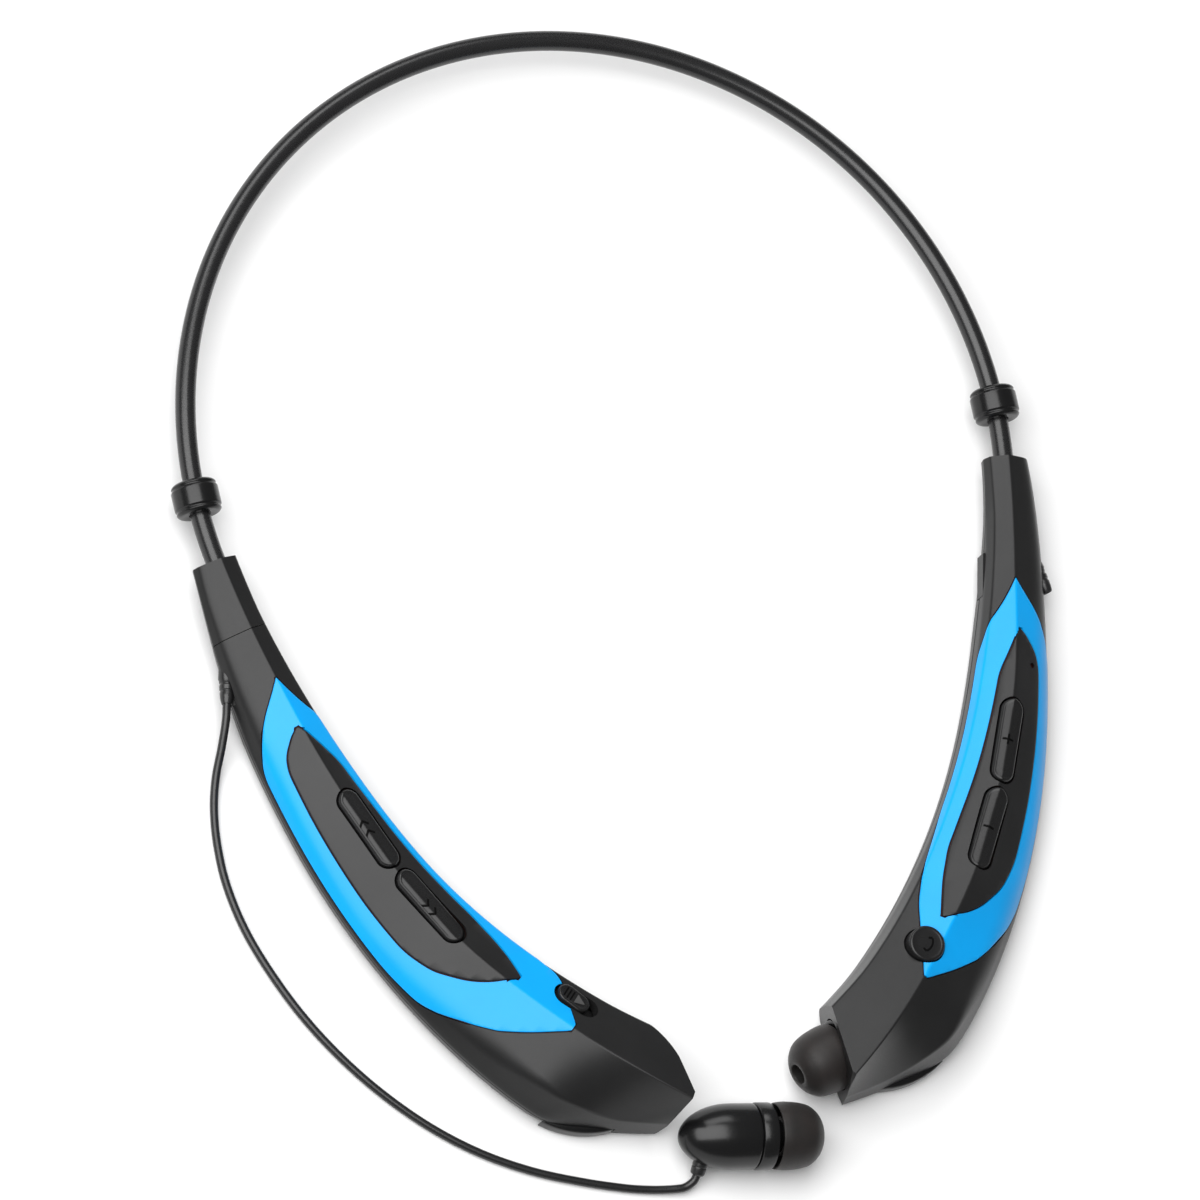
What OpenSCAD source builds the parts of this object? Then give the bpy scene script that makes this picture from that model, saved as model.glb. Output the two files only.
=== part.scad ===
// Neckband earphones. Millimetres, +Z up, +Y towards the back of the neckband.
// The right side is modelled at +X; the left side is its mirror image.

/* [Neckband] */
// Radius of the band's centre line
band_r = 72.2; // [71:0.1:74]
// Diameter of the rubber band sleeve
band_d = 3.4; // [3.2:0.1:3.6]
// Height of the band's centre line above the table
band_z = 7; // [6.8:0.1:7.2]
// How far the band runs past the half circle on each side, in degrees
band_drop = 9; // [8:0.5:10]
// Outer diameter of the sliding collars
collar_d = 7.9; // [7:0.1:9]
// Length of the sliding collars
collar_len = 5.5; // [4:0.1:7]

/* [Arms] */
// Radius of the arm's first bend
bend_1_r = 210; // [200:1:220]
// Turn of the first bend, in degrees
bend_1_turn = 13; // [12:0.5:14]
// Radius of the arm's second bend
bend_2_r = 135; // [130:1:140]
// Turn of the second bend, in degrees
bend_2_turn = 31; // [30:0.5:32]
// Height of the ridge at the band end
ridge_z_band = 9.9; // [9.8:0.1:10.2]
// Extra height of the ridge at the earbud end
ridge_rise = 5.6; // [5.4:0.1:6]
// Fall of the top facets for each millimetre sideways
facet_fall = 0.4; // [0.36:0.01:0.42]
// Wall thickness of the shells at their sides
side_wall = 1.3; // [1.1:0.1:1.4]
// Thickness of the blue trim
trim_t = 0.8; // [0.6:0.05:0.9]

/* [Buttons] */
// Length of the track and volume buttons
button_len = 15; // [14:0.1:15.4]
// Width of the track and volume buttons
button_w = 4; // [3.6:0.1:4.2]
// Diameter of the call button
call_d = 6.2; // [5.6:0.1:6.4]
// Gap around every button
button_gap = 0.25; // [0.15:0.05:0.3]

/* [Earbuds] */
// Largest radius of the earbud housing
bud_r = 5.5; // [5.2:0.1:5.6]
// Largest radius of the silicone ear tip
tip_r = 5.7; // [5.4:0.1:5.75]
// Diameter of the earbud cord
cord_d = 1.4; // [1.2:0.1:1.6]

/* [Hidden] */
$fn = 48;
eps = 0.01;
band_cy = 26.12;
black = "#2b2b2b";
blue = "#00aeef";
board_green = "#2f6b3c";
steel = "#b8bcc0";

// ---- Plan of the arm: a chain of tangent arcs, s millimetres from its band end ----
bend_1_len = bend_1_r * bend_1_turn * PI / 180;
bend_2_len = bend_2_r * bend_2_turn * PI / 180;
arm_len = bend_1_len + bend_2_len;
function side_dir(a) = [cos(a), -sin(a)];
function ahead_dir(a) = [-sin(a), -cos(a)];
arm_start = [0, band_cy] + band_r * side_dir(band_drop);
bend_1_centre = arm_start - bend_1_r * side_dir(band_drop);
bend_1_end = bend_1_centre + bend_1_r * side_dir(band_drop + bend_1_turn);
bend_2_centre = bend_1_end - bend_2_r * side_dir(band_drop + bend_1_turn);
function heading(s) = s < bend_1_len ? band_drop + s / bend_1_r * 180 / PI
    : band_drop + bend_1_turn + (s - bend_1_len) / bend_2_r * 180 / PI;
function spine(s) = s < bend_1_len ? bend_1_centre + bend_1_r * side_dir(heading(s))
    : bend_2_centre + bend_2_r * side_dir(heading(s));
function at(s, w, z) = let (p = spine(s) + w * side_dir(heading(s))) [p.x, p.y, z];

// ---- Cross-section of the arm, as heights and half widths along s ----
function ramp(s, a, b) = let (t = min(1, max(0, (s - a) / (b - a)))) t * t * (3 - 2 * t);
function mix(a, b, t) = a + (b - a) * t;
function soft_min(a, b, k) = (a + b - sqrt((a - b) * (a - b) + k * k)) / 2;
front_s = 114;
full_w = 12.4;
function tip_fade(s) = ramp(s, 98, front_s);
function ridge_z(s) = ridge_z_band + 0.7 * ramp(s, 0, 50) + ridge_rise * ramp(s, 60, 121);
// Between the buttons' ends the ridge is a little higher and further out
function ridge_shape(s) = ramp(s, 18, 42) * (1 - ramp(s, 74, 92));
function ridge_w(s) = 0.6 * ridge_shape(s);
function ridge_top(s) = ridge_z(s) + 0.7 * ridge_shape(s);
function outer_growth(s) = 4.3 + 8.1 * (1 - pow(max(0, 1 - s / 98), 1.6));
function front_line(s) = 2.2 + (arm_len - s) * 0.57;
function outer_w(s) = soft_min(outer_growth(s), front_line(s), 1.2);
function outer_z(s) = mix(4.8 + 2.1 * (1 - ramp(s, 0, 32)), 2.2, tip_fade(s));
function outer_edge_w(s) = (0.8 + 0.08 * tip_fade(s)) * outer_w(s);
function outer_edge_z(s) = mix(ridge_z(s) - facet_fall * outer_edge_w(s), 6.4, tip_fade(s));
function inner_w(s) = 3.6 + 6.3 * pow(max(0, (s - 10) / 100), 1.2) + 0.4 * ramp(s, 100, front_s);
function inner_edge_w(s) = inner_w(s) - 0.6;
function inner_edge_z(s) = ridge_z(s) - facet_fall * inner_edge_w(s);
function inner_z(s) = min(inner_edge_z(s) - 1, 6.4);
function base_z(s) = 3.7 * (1 - ramp(s, 0, 32));
function split_z(s) = mix(4 + 3 * (1 - ramp(s, 0, 32)), 1.6, tip_fade(s));

// The two contours, from the outer side over the ridge to the inner side,
// set in by side_in at the sides and by top_in under the facets
function top_contour(s, side_in, top_in, low) = [
    [max(0.3, outer_w(s) - side_in), low],
    [max(0.3, outer_w(s) - side_in), max(low + 0.1, outer_z(s) - 0.3 * top_in)],
    [max(0.2, outer_edge_w(s) - 0.7 * side_in), outer_edge_z(s) - 0.9 * top_in],
    [ridge_w(s), ridge_top(s) - 1.08 * top_in],
    [-inner_edge_w(s) + 0.7 * side_in, inner_edge_z(s) - 0.9 * top_in],
    [-inner_w(s) + side_in, max(low + 0.1, inner_z(s) - 0.3 * top_in)],
    [-inner_w(s) + side_in, low]];
function base_contour(s, side_in, high, floor_in) = [
    [-inner_w(s) + side_in, high],
    [-inner_w(s) + side_in + 0.3, base_z(s) + floor_in + 1.2],
    [-inner_w(s) + side_in + 1.5, base_z(s) + floor_in],
    [max(0.1, outer_w(s) - side_in - 2.2), base_z(s) + floor_in],
    [max(0.2, outer_w(s) - side_in - 0.6), base_z(s) + floor_in + 1.2],
    [max(0.3, outer_w(s) - side_in), high]];

// A solid through rings of points, each ring a list of the same length
module skin(rings) {
    n = len(rings[0]);
    m = len(rings);
    polyhedron(
        points = [for (ring = rings) each ring],
        faces = concat(
            [[for (i = [0:n - 1]) i]],
            [for (k = [0:m - 2], i = [0:n - 1]) each [
                [k * n + i, (k + 1) * n + (i + 1) % n, k * n + (i + 1) % n],
                [k * n + i, (k + 1) * n + i, (k + 1) * n + (i + 1) % n]]],
            [[for (i = [n - 1:-1:0]) (m - 1) * n + i]]));
}
function steps(a, b, n) = [for (i = [0:n]) a + (b - a) * i / n];
function ring_at(s, contour) = [for (p = contour) at(s, p[0], p[1])];

module arm_top(a, b, side_in = 0, top_in = 0, drop = 0) {
    skin([for (s = steps(a, b, ceil((b - a) / 5.5)))
        ring_at(s, top_contour(s, side_in, top_in, split_z(s) - drop))]);
}
module arm_base(a, b, side_in = 0, floor_in = 0, raise = 0) {
    skin([for (s = steps(a, b, ceil((b - a) / 5.5)))
        ring_at(s, base_contour(s, side_in, split_z(s) + raise, floor_in))]);
}

// ---- Panels that lie on the top of the arm ----
// u runs across the arm: 0 on the ridge, 1 and -1 on the facet edges, 2 and -2 low on the sides
function panel_point(s, u, depth) =
    let (c = top_contour(s, depth, depth, split_z(s)),
        k = [c[5], c[4], c[3], c[2], c[1]],
        v = min(3.999, max(0, u + 2)),
        i = floor(v),
        p = mix(k[i], k[i + 1], v - i))
    at(s, p[0], p[1]);
function panel_row(s, lo, hi, depth) =
    let (stops = [lo, min(hi - 0.03, max(lo + 0.01, -1)), min(hi - 0.02, max(lo + 0.02, 0)),
        min(hi - 0.01, max(lo + 0.03, 1)), hi])
    [for (u = stops) panel_point(s, u, depth)];
module panel(inner, outer, top, bottom, grow = 0) {
    a = inner[0][0] - grow;
    b = inner[len(inner) - 1][0] + grow;
    skin([for (s = steps(a, b, ceil((b - a) / 3)))
        let (lo = lookup(s, inner) - 0.04 - grow * 0.12, hi = lookup(s, outer) + 0.04 + grow * 0.12,
            over = panel_row(s, lo, hi, top), under = panel_row(s, lo, hi, bottom))
        concat([for (i = [4:-1:0]) over[i]], under)]);
}
trim_outer = [[22, 0], [25, 0.45], [28, 0.9], [31, 1.3], [35, 1.98], [70, 1.98], [77, 1.75], [83, 1.15],
    [88, 0.8], [93, 0.45], [98, 0.06]];
right_trim_inner = [[22, 0], [24.5, -0.3], [27, -0.6], [30, -1], [36, -1.98], [66, -1.98], [73, -1.5],
    [79, -1], [85, -0.8], [90, -0.5], [98, -0.02]];
left_trim_inner = [[22, 0], [24.5, -0.3], [27, -0.6], [30, -1], [36, -1.98], [74, -1.98], [82, -1.4],
    [88, -1.02], [92, -0.9], [98, -0.1]];
bezel_outer = [[31, 0.15], [33, 0.55], [36, 0.8], [45, 0.86], [60, 0.88], [70, 0.86], [75, 0.7], [81, 0.36],
    [86, -0.1]];
right_bezel_inner = [[31, 0.1], [34, -0.12], [39, -0.46], [49, -0.54], [58, -0.6], [66, -0.66], [73, -0.68],
    [79, -0.54], [83, -0.38], [86, -0.2]];
left_bezel_inner = [[31, 0.1], [34, -0.25], [39, -0.65], [49, -0.76], [58, -0.78], [66, -0.8], [73, -0.78],
    [79, -0.66], [83, -0.5], [86, -0.3]];
module trim_blank(inner, top, bottom, grow = 0) panel(inner, trim_outer, top, bottom, grow);
module bezel_blank(side, top, bottom, grow = 0)
    panel(side > 0 ? right_bezel_inner : left_bezel_inner, bezel_outer, top, bottom, grow);

// ---- Placing things in the arm: local +X points outwards, local -Y runs ahead ----
module station(s, w, z) {
    translate(at(s, w, z)) rotate([0, 0, -heading(s)]) children();
}
module sided(side) {
    if (side > 0) children();
    else mirror([1, 0, 0]) children();
}

// Buttons that straddle the ridge
button_s = [51.2, 67.4];
function button_shift(side) = side > 0 ? 0.8 : -0.1;
button_travel = 0.4;
button_proud = 0.45;
module stadium(l, w, h) {
    linear_extrude(height = h) union() {
        square([w, l - w], center = true);
        for (e = [-1, 1]) translate([0, e * (l - w) / 2]) circle(d = w);
    }
}
module track_button(s, side) {
    top = ridge_top(s) + button_proud;
    low = ridge_z(s) - 3.6;
    x = ridge_w(s) - button_shift(side);
    station(s, button_shift(side), 0) {
        intersection() {
            translate([0, 0, low + 0.9]) stadium(button_len, button_w, 7);
            rotate([90, 0, 0]) linear_extrude(height = button_len + 2, center = true)
                polygon([[-button_w, low], [button_w, low], [button_w, top - 0.47 * (button_w - x)],
                    [x, top], [-button_w, top - 0.47 * (button_w + x)]]);
        }
        translate([0, 0, low]) stadium(button_len + 0.3, button_w + 1.4, 0.9 + eps);
        translate([0, 0, low - 0.4]) cylinder(d = 2, h = 0.5);
    }
}
module button_slot(s, side, grow) {
    station(s, button_shift(side), 4) stadium(button_len + 2 * grow, button_w + 2 * grow, 12);
}
module button_chamber(s, side) {
    station(s, button_shift(side), 2) stadium(button_len + 2.8, button_w + 2.6, ridge_z(s) - 4.15);
}
call_s = 92.6;
call_w = -2.2;
call_top = 14.1;
module call_hole(grow) {
    station(call_s, call_w, 4) cylinder(d = call_d + 2 * grow, h = 14);
}
switch_s = 96.2;
switch_w = -5.2;
switch_top = 12.2;
switch_travel = 1.4;
module switch_tilt() {
    station(switch_s, switch_w, switch_top) rotate([0, -22, 0]) children();
}

// ---- Earbud, along its own +X from the nose to the ear tip; its parts are turned solids ----
nose_len = 9;
housing_len = 13.1;
front_len = 2.8;
bud_len = 24.7;
function nose_r(x, r) = x < nose_len ? r * pow(1 - pow(1 - x / nose_len, 2), 0.52) : r;
module turned() rotate([0, 90, 0]) rotate_extrude() rotate([0, 0, 90]) mirror([0, 1]) children();
module bud_housing() {
    color("#161616") turned() polygon(concat(
        [for (x = [0, 0.25, 0.7, 1.4, 2.4, 3.6, 5, 6.8, 9]) [x, nose_r(x, bud_r)]],
        [[housing_len - 0.1, bud_r], [housing_len - 0.1, bud_r - 1]],
        [for (x = [9, 6.8, 5, 3.6, 2.6]) [x, nose_r(x, bud_r) - 1]], [[2, 0]]));
}
module bud_front() {
    a = housing_len;
    b = housing_len + front_len;
    color("#1c1c1c") turned() polygon([[a, 4.6], [a, bud_r + 0.1], [b - 0.3, bud_r + 0.1], [b, bud_r - 0.2],
        [b, 2.6], [b + 3, 2.6], [b + 3.2, 2.9], [b + 4.1, 2.9], [b + 4.9, 2.4], [b + 4.9, 1.8],
        [a + 1.2, 1.8], [a + 1.2, 4.6]]);
}
module bud_driver() {
    color(steel) translate([housing_len - 3.2, 0, 0]) rotate([0, 90, 0]) cylinder(r = 4.4, h = 3);
}
module bud_mesh() {
    color("#8a8d90") translate([housing_len + front_len + 4.6, 0, 0]) rotate([0, 90, 0])
        cylinder(r = 1.78, h = 0.3);
}
module ear_tip() {
    a = housing_len + front_len + 0.7;
    color("#242424") turned() polygon([[a, 5.2], [a, tip_r - 0.25], [a + 1.6, tip_r], [a + 3.8, tip_r - 0.1],
        [a + 5.8, 5], [a + 7.2, 3.9], [bud_len - 0.2, 2.9], [bud_len, 2.4], [bud_len, 1.7],
        [bud_len - 2.9, 1.7], [bud_len - 2.9, 2.45], [a + 3.9, 2.96], [a + 2.4, 2.96], [a + 2.1, 2.65], [a + 1, 2.65],
        [a + 1, 3.2],
        [a + 4.6, 3.6], [a + 5, 4.2], [a + 3.6, 4.9]]);
}

// The right earbud sits in the end of its arm; the left one lies on the table by its arm
docked_turn = 17.5;
docked_nose = [32.1, band_cy - 103.42, 6.5];
module docked() translate(docked_nose) rotate([0, 0, 180 + docked_turn]) children();
loose_turn = -7.6;
loose_nose = [-14.4, band_cy - 118.1, tip_r + eps];
module loose() translate(loose_nose) rotate([0, 0, loose_turn]) children();
relief_x = 5.2;
relief_tilt = 30;
relief_turn = 15;
relief_end = 6.6;
module on_relief() translate([relief_x, 0, 0]) rotate([90 + relief_tilt, 0, -relief_turn]) children();

// ---- The dock at the end of each arm ----
cup_clear = 0.15;
cup_t = 0.45;
pocket_r = tip_r + 0.15;
left_end_x = 13.9;
right_end_x = 14.4;
module cup_outer(grow = 0) {
    turned() polygon(concat([[-1.2 - grow, 0], [-1.2 - grow, 3 + grow]],
        [for (x = [0.7, 2.4, 5]) [x, nose_r(x, bud_r) + cup_clear + cup_t + grow]],
        [[nose_len, bud_r + cup_clear + cup_t + grow], [nose_len, 0]]));
}
module cup_inner() {
    turned() polygon(concat([[-0.6, 0]],
        [for (x = [0.25, 0.7, 1.4, 2.4, 3.6, 5, 6.8]) [x - 0.3, nose_r(x, bud_r) + cup_clear]],
        [[nose_len, bud_r + cup_clear], [nose_len + 0.1, bud_r + cup_clear], [nose_len + 0.1, 0]]));
}
module pocket() {
    docked() {
        cup_outer(0.05);
        translate([nose_len, 0, 0]) rotate([0, 90, 0]) cylinder(r = pocket_r, h = 20);
        translate([-3.6, 0, 0]) rotate([0, 90, 0]) cylinder(d = 6.1, h = 4);
    }
}
module end_cut(end_x) translate([end_x, band_cy - 60, 0]) rotate([90, 0, 0])
    linear_extrude(height = 80) polygon([[-40, -1], [3.2, -1], [-3, 30], [-40, 30]]);
module dock_cup() color("#141414") docked() difference() {
    cup_outer();
    cup_inner();
}
module dock_magnet() color(steel) docked() translate([-3.3, 0, 0]) rotate([0, 90, 0]) cylinder(d = 6, h = 2);
pad_len = 18.4;
pad_bulge = 2;
pad_r = (pad_len * pad_len / 4 + pad_bulge * pad_bulge) / (2 * pad_bulge);
pad_place = [29.4, band_cy - 112.4, 0];
module dock_pad_solid(z_lo, z_hi, grow = 0) {
    translate(pad_place) rotate([0, 0, 8]) translate([0, 0, z_lo]) linear_extrude(height = z_hi - z_lo)
        intersection() {
            translate([0, pad_r - pad_bulge]) circle(r = pad_r + grow, $fn = 96);
            translate([-pad_len / 2 - grow, -5]) square([pad_len + 2 * grow, 5.15 + grow]);
        }
}

// ---- Screws, from below: [s, w] and the height of the boss above its hole ----
screw_at = [[38, -0.4], [92, 8.9]];
screw_d = 1.4;
head_d = 2.8;
head_z = 1.1;
module at_screws() for (p = screw_at) station(p[0], p[1], 0) children();
module screws() color(steel) at_screws() difference() {
    union() {
        translate([0, 0, 0.2]) cylinder(d = head_d, h = head_z - 0.2);
        translate([0, 0, 0.4]) cylinder(d = screw_d, h = 5.8);
    }
    translate([0, 0, 0.1]) for (a = [0, 90]) rotate([0, 0, a]) cube([1.8, 0.35, 0.8], center = true);
}

// ---- Shells ----
gland_s = 17;
gland_z = 4.9;
gland_turn = 62;
module gland_axis() station(gland_s, outer_w(gland_s) - 1.4, gland_z) rotate([0, 0, -gland_turn])
    rotate([0, 90, 0]) children();
module band_hole(r) {
    translate([0, band_cy, band_z]) rotate_extrude(start = -band_drop - 10, angle = 12)
        translate([band_r, 0]) circle(r = r);
}
module wire_passage() {
    translate([0, band_cy, band_z]) rotate_extrude(start = -band_drop - 15, angle = 14)
        translate([band_r, 0]) circle(r = 1.4);
}
module top_shell(side, start) {
    cavity_from = start + 2.6;
    hole_from = side > 0 ? 11 : cavity_from;
    trim_inner = side > 0 ? right_trim_inner : left_trim_inner;
    end_x = side > 0 ? right_end_x : left_end_x;
    color(black) difference() {
        union() {
            difference() {
                arm_top(start, arm_len);
                arm_top(hole_from, 103, side_wall, trim_t + 1, 1);
            }
            intersection() {
                arm_top(start, 103, 0.4, 0.4);
                at_screws() translate([0, 0, 2.1]) cylinder(d = 3.2, h = 12);
            }
        }
        trim_blank(trim_inner, -0.6, trim_t, 0.25);
        at_screws() translate([0, 0, 2]) cylinder(d = screw_d + 0.04, h = 4.4);
        for (s = button_s) {
            button_slot(s, side, button_gap + 0.1);
            button_chamber(s, side);
        }
        pocket();
        end_cut(end_x);
        dock_pad_solid(0.4, 3.05, 0.06);
        gland_axis() cylinder(d = 3.06, h = 12, center = true);
        wire_passage();
        if (side > 0) {
            band_hole(band_d / 2 + 0.06);
            call_hole(button_gap);
            station(call_s, call_w, 4) cylinder(d = call_d + 2.2, h = 6.4);
            usb_hole(0.1);
            mic_hole(1);
        } else {
            switch_tilt() {
                translate([0, 0, -4.2]) stadium(6.4 + switch_travel, 4.1, 8);
                translate([0, 0, -5]) cube([4.4, 8.6, 7.2], center = true);
            }
        }
    }
}
module bottom_shell(side, start) {
    end_x = side > 0 ? right_end_x : left_end_x;
    color(black) difference() {
        arm_base(start, arm_len);
        difference() {
            arm_base(side > 0 ? 11 : start + 2.6, 103, side_wall, 1.4, 1);
            at_screws() cylinder(d = 3.6, h = 2);
        }
        at_screws() {
            translate([0, 0, -1]) cylinder(d = head_d + 0.2, h = 1 + head_z);
            cylinder(d = screw_d + 0.1, h = 4);
        }
        pocket();
        end_cut(end_x);
        dock_pad_solid(0.4, 3.05, 0.06);
        gland_axis() cylinder(d = 3.06, h = 12, center = true);
        wire_passage();
        if (side > 0) {
            band_hole(band_d / 2 + 0.06);
            usb_hole(0.1);
        }
    }
}
module trim(side) {
    trim_inner = side > 0 ? right_trim_inner : left_trim_inner;
    color(blue) difference() {
        trim_blank(trim_inner, -0.12, trim_t - 0.05);
        bezel_blank(side, -1, 2, 0.35);
        if (side > 0) call_hole(button_gap);
        else switch_tilt() translate([0, 0, -6]) stadium(7 + switch_travel, 4.8, 12);
    }
}
module bezel(side) {
    color("#3c3c3c") difference() {
        bezel_blank(side, -0.2, trim_t - 0.12);
        for (s = button_s) button_slot(s, side, button_gap);
        if (side > 0) mic_hole(0.45);
    }
}

// ---- Parts of the band ----
wire_z = -0.7;
signal_z = 0.75;
module band_arc(r, z, extra = 0) {
    translate([0, band_cy, band_z + z])
        rotate_extrude(start = -band_drop - 8 - extra, angle = 196 + 2 * band_drop + 2 * extra, $fn = 64)
            translate([band_r, 0]) circle(r = r);
}
module band_sleeve() color("#1d1d1d") difference() {
    band_arc(band_d / 2, 0);
    band_arc(0.65, wire_z, 1);
    band_arc(0.55, signal_z, 1);
}
module memory_wire() color(steel) band_arc(0.6, wire_z, 3);
module band_signal_wire() color("#7a2b22") band_arc(0.5, signal_z, 5);
module collar(angle) {
    translate([0, band_cy, band_z]) color("#1d1d1d") difference() {
        rotate([0, 0, angle]) translate([band_r, 0, 0]) rotate([90, 0, 0]) rotate_extrude()
            polygon([[0.5, -collar_len / 2], [collar_d / 2 - 0.6, -collar_len / 2],
                [collar_d / 2, -collar_len / 2 + 0.6], [collar_d / 2, collar_len / 2 - 0.6],
                [collar_d / 2 - 0.6, collar_len / 2], [0.5, collar_len / 2]]);
        rotate_extrude(start = angle - 6, angle = 12) translate([band_r, 0]) circle(d = band_d + 0.12);
    }
}
boot_len = 12.8;
module left_boot() sided(-1) color("#262626") difference() {
    skin([for (s = steps(0, boot_len, 3)) ring_at(s, concat(top_contour(s, 0, 0, split_z(s)),
        [for (i = [1:4]) base_contour(s, 0, split_z(s), 0)[i]]))]);
    band_hole(band_d / 2 + 0.02);
    wire_passage();
}
module cord_gland() color("#202020") intersection() {
    gland_axis() difference() {
        union() {
            translate([0, 0, -2]) cylinder(d = 3, h = 5.2);
            translate([0, 0, 3.2]) cylinder(d1 = 3, d2 = 2.2, h = 2.6);
            translate([0, 0, -2.4]) cylinder(d = 3, h = 0.5);
        }
        translate([0, 0, -4]) cylinder(d = cord_d, h = 12);
    }
    translate([40, -60, 0]) cube([60, 120, 20]);
}

// ---- Parts inside the arms ----
board_t = 0.8;
board_z = 3.9;
module button_board(s, l) station(s, 1.6, board_z) cube([7.6, l, board_t], center = true);
module tact_switch(s, w, z, top) station(s, w, z) {
    translate([-1.6, -2, 0]) cube([3.2, 4, 1.3]);
    cylinder(d = 1.8, h = top - z);
}
function stem_z(s) = ridge_z(s) - 4 - button_travel - 0.05;
module button_switches(side) for (s = button_s)
    tact_switch(s, button_shift(side), board_z + board_t / 2, stem_z(s));
call_board_z = 6.6;
call_low = 9.1;
usb_s = 20.5;
usb_z = 4.6;
module at_usb() station(usb_s, -inner_w(usb_s), usb_z) children();
module usb_hole(grow) at_usb() translate([-3, -3.8 - grow, -1.4 - grow])
    cube([6, 7.6 + 2 * grow, 2.8 + 2 * grow]);
module mic_hole(r) station(36.6, 4, 2) cylinder(r = r, h = 12);

module previous_button() sided(-1) color(black) track_button(button_s[0], -1);
module next_button() sided(-1) color(black) track_button(button_s[1], -1);
module volume_up_button() color(black) track_button(button_s[0], 1);
module volume_down_button() color(black) track_button(button_s[1], 1);
module call_button() color(black) station(call_s, call_w, 0) {
    translate([0, 0, call_low + 0.8]) cylinder(d = call_d, h = call_top - call_low - 0.8);
    translate([0, 0, call_low]) cylinder(d = call_d + 1.6, h = 0.8 + eps);
    translate([0, 0, call_low - 0.3]) cylinder(d = 2, h = 0.4);
}
module power_switch_knob() sided(-1) color(black) switch_tilt() translate([0, switch_travel / 2, 0]) {
    translate([0, 0, -1.2]) stadium(6, 3.6, 1.5);
    translate([0, 0, -2.2]) cube([1.4, 1.4, 2.1], center = true);
}
module power_switch_body() sided(-1) color(steel) switch_tilt() difference() {
    translate([0, 0, -3.1]) cube([3.6, 7.4, 2.6], center = true);
    translate([0, 0, -2.3]) cube([1.8, 4, 2.2], center = true);
}
module left_button_board() sided(-1) color(board_green) button_board(57.5, 31);
module left_tact_switches() sided(-1) color("#d8d8d8") button_switches(-1);
module battery() sided(-1) color("#9aa3ad") station(84.5, 1.1, 3.7) cube([11, 19, 4.4], center = true);
module main_board() color(board_green) button_board(62, 42);
module call_button_board() color(board_green) station(call_s, call_w, call_board_z)
    cube([7, 7, board_t], center = true);
module right_tact_switches() color("#d8d8d8") {
    button_switches(1);
    tact_switch(call_s, call_w, call_board_z + board_t / 2, call_low - 0.3 - button_travel - 0.05);
}
module bluetooth_module() color(steel) station(72, 1.6, board_z - board_t / 2 - 0.8)
    cube([7, 12, 1.6], center = true);
module microphone() color("#c9a44a") station(36.6, 4, 4.7) cylinder(d = 3.6, h = 1.4);
module vibration_motor() color(steel) station(31.6, 1.2, 2) cylinder(d = 7, h = 2.6);
module usb_receptacle() color(steel) at_usb() difference() {
    translate([0.8, -3.7, -1.3]) cube([4.8, 7.4, 2.6]);
    translate([0.7, -3.4, -1]) cube([4, 6.8, 2]);
}
module usb_cover() color("#262626") at_usb() translate([-0.2, -3.75, -1.35]) cube([0.75, 7.5, 2.7]);

// ---- The left earbud's cord, from its gland to the earbud, measured from the band's centre ----
cord_route = [[-73.9, -33.3, 4.9], [-74.3, -34.8, 4.9], [-75, -37.5, 4.6], [-76.2, -41.5, 3.1],
    [-77.7, -45.9, 1.4], [-79, -50.9, 0.8], [-79.8, -56.9, 0.7], [-79.8, -63.9, 0.7], [-78.4, -71.9, 0.7],
    [-75.6, -79.9, 0.7], [-71.8, -87.9, 0.7], [-67, -95.5, 0.7], [-61.2, -102.7, 0.7], [-54.4, -109.3, 0.7],
    [-47, -114.7, 0.7], [-39, -118.9, 0.7], [-31, -121.9, 0.7], [-24, -124, 0.7], [-20, -124.9, 0.75],
    [-17, -125.4, 0.95], [-14.6, -125.65, 1.2], [-13.6, -125.6, 1.3], [-12.7, -125.3, 1.55],
    [-11.9, -124.8, 1.95], [-11.47, -124.12, 2.37]];
function curve_point(p, i, t) =
    let (a = p[max(0, i - 1)], b = p[i], c = p[i + 1], d = p[min(len(p) - 1, i + 2)])
    0.5 * (2 * b + (c - a) * t + (2 * a - 5 * b + 4 * c - d) * t * t + (3 * b - a - 3 * c + d) * t * t * t);
function curve(p, n) = concat([for (i = [0:len(p) - 2], k = [0:n - 1]) curve_point(p, i, k / n)],
    [p[len(p) - 1]]);
function unit(v) = v / norm(v);
function tube_rings(path, r, sides) = [for (i = [0:len(path) - 1])
    let (t = unit(path[min(len(path) - 1, i + 1)] - path[max(0, i - 1)]),
        across = unit(cross(t, [0, 0, 1])), up = cross(across, t))
    [for (k = [0:sides - 1]) path[i] + r * (cos(360 * (k + 0.5) / sides) * across
        - sin(360 * (k + 0.5) / sides) * up)]];
module left_cord() color("#1a1a1a") translate([0, band_cy, 0]) skin(tube_rings(curve(cord_route, 3), cord_d / 2, 8));

// ---- One module for each remaining node ----
module left_collar() collar(180);
module right_collar() collar(-1.2);
module left_top_shell() sided(-1) top_shell(-1, boot_len);
module left_bottom_shell() sided(-1) bottom_shell(-1, boot_len);
module left_trim() sided(-1) trim(-1);
module left_bezel() sided(-1) bezel(-1);
module left_dock_cup() sided(-1) dock_cup();
module left_dock_magnet() sided(-1) dock_magnet();
module left_dock_pad() sided(-1) color("#101010") dock_pad_solid(0.45, 3);
module left_screws() sided(-1) screws();
module left_cord_gland() sided(-1) cord_gland();
module right_top_shell() top_shell(1, 0);
module right_bottom_shell() bottom_shell(1, 0);
module right_trim() trim(1);
module right_bezel() bezel(1);
module right_dock_cup() dock_cup();
module right_dock_magnet() dock_magnet();
module right_dock_pad() color("#101010") dock_pad_solid(0.45, 3);
module right_screws() screws();
module right_cord_gland() cord_gland();
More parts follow.
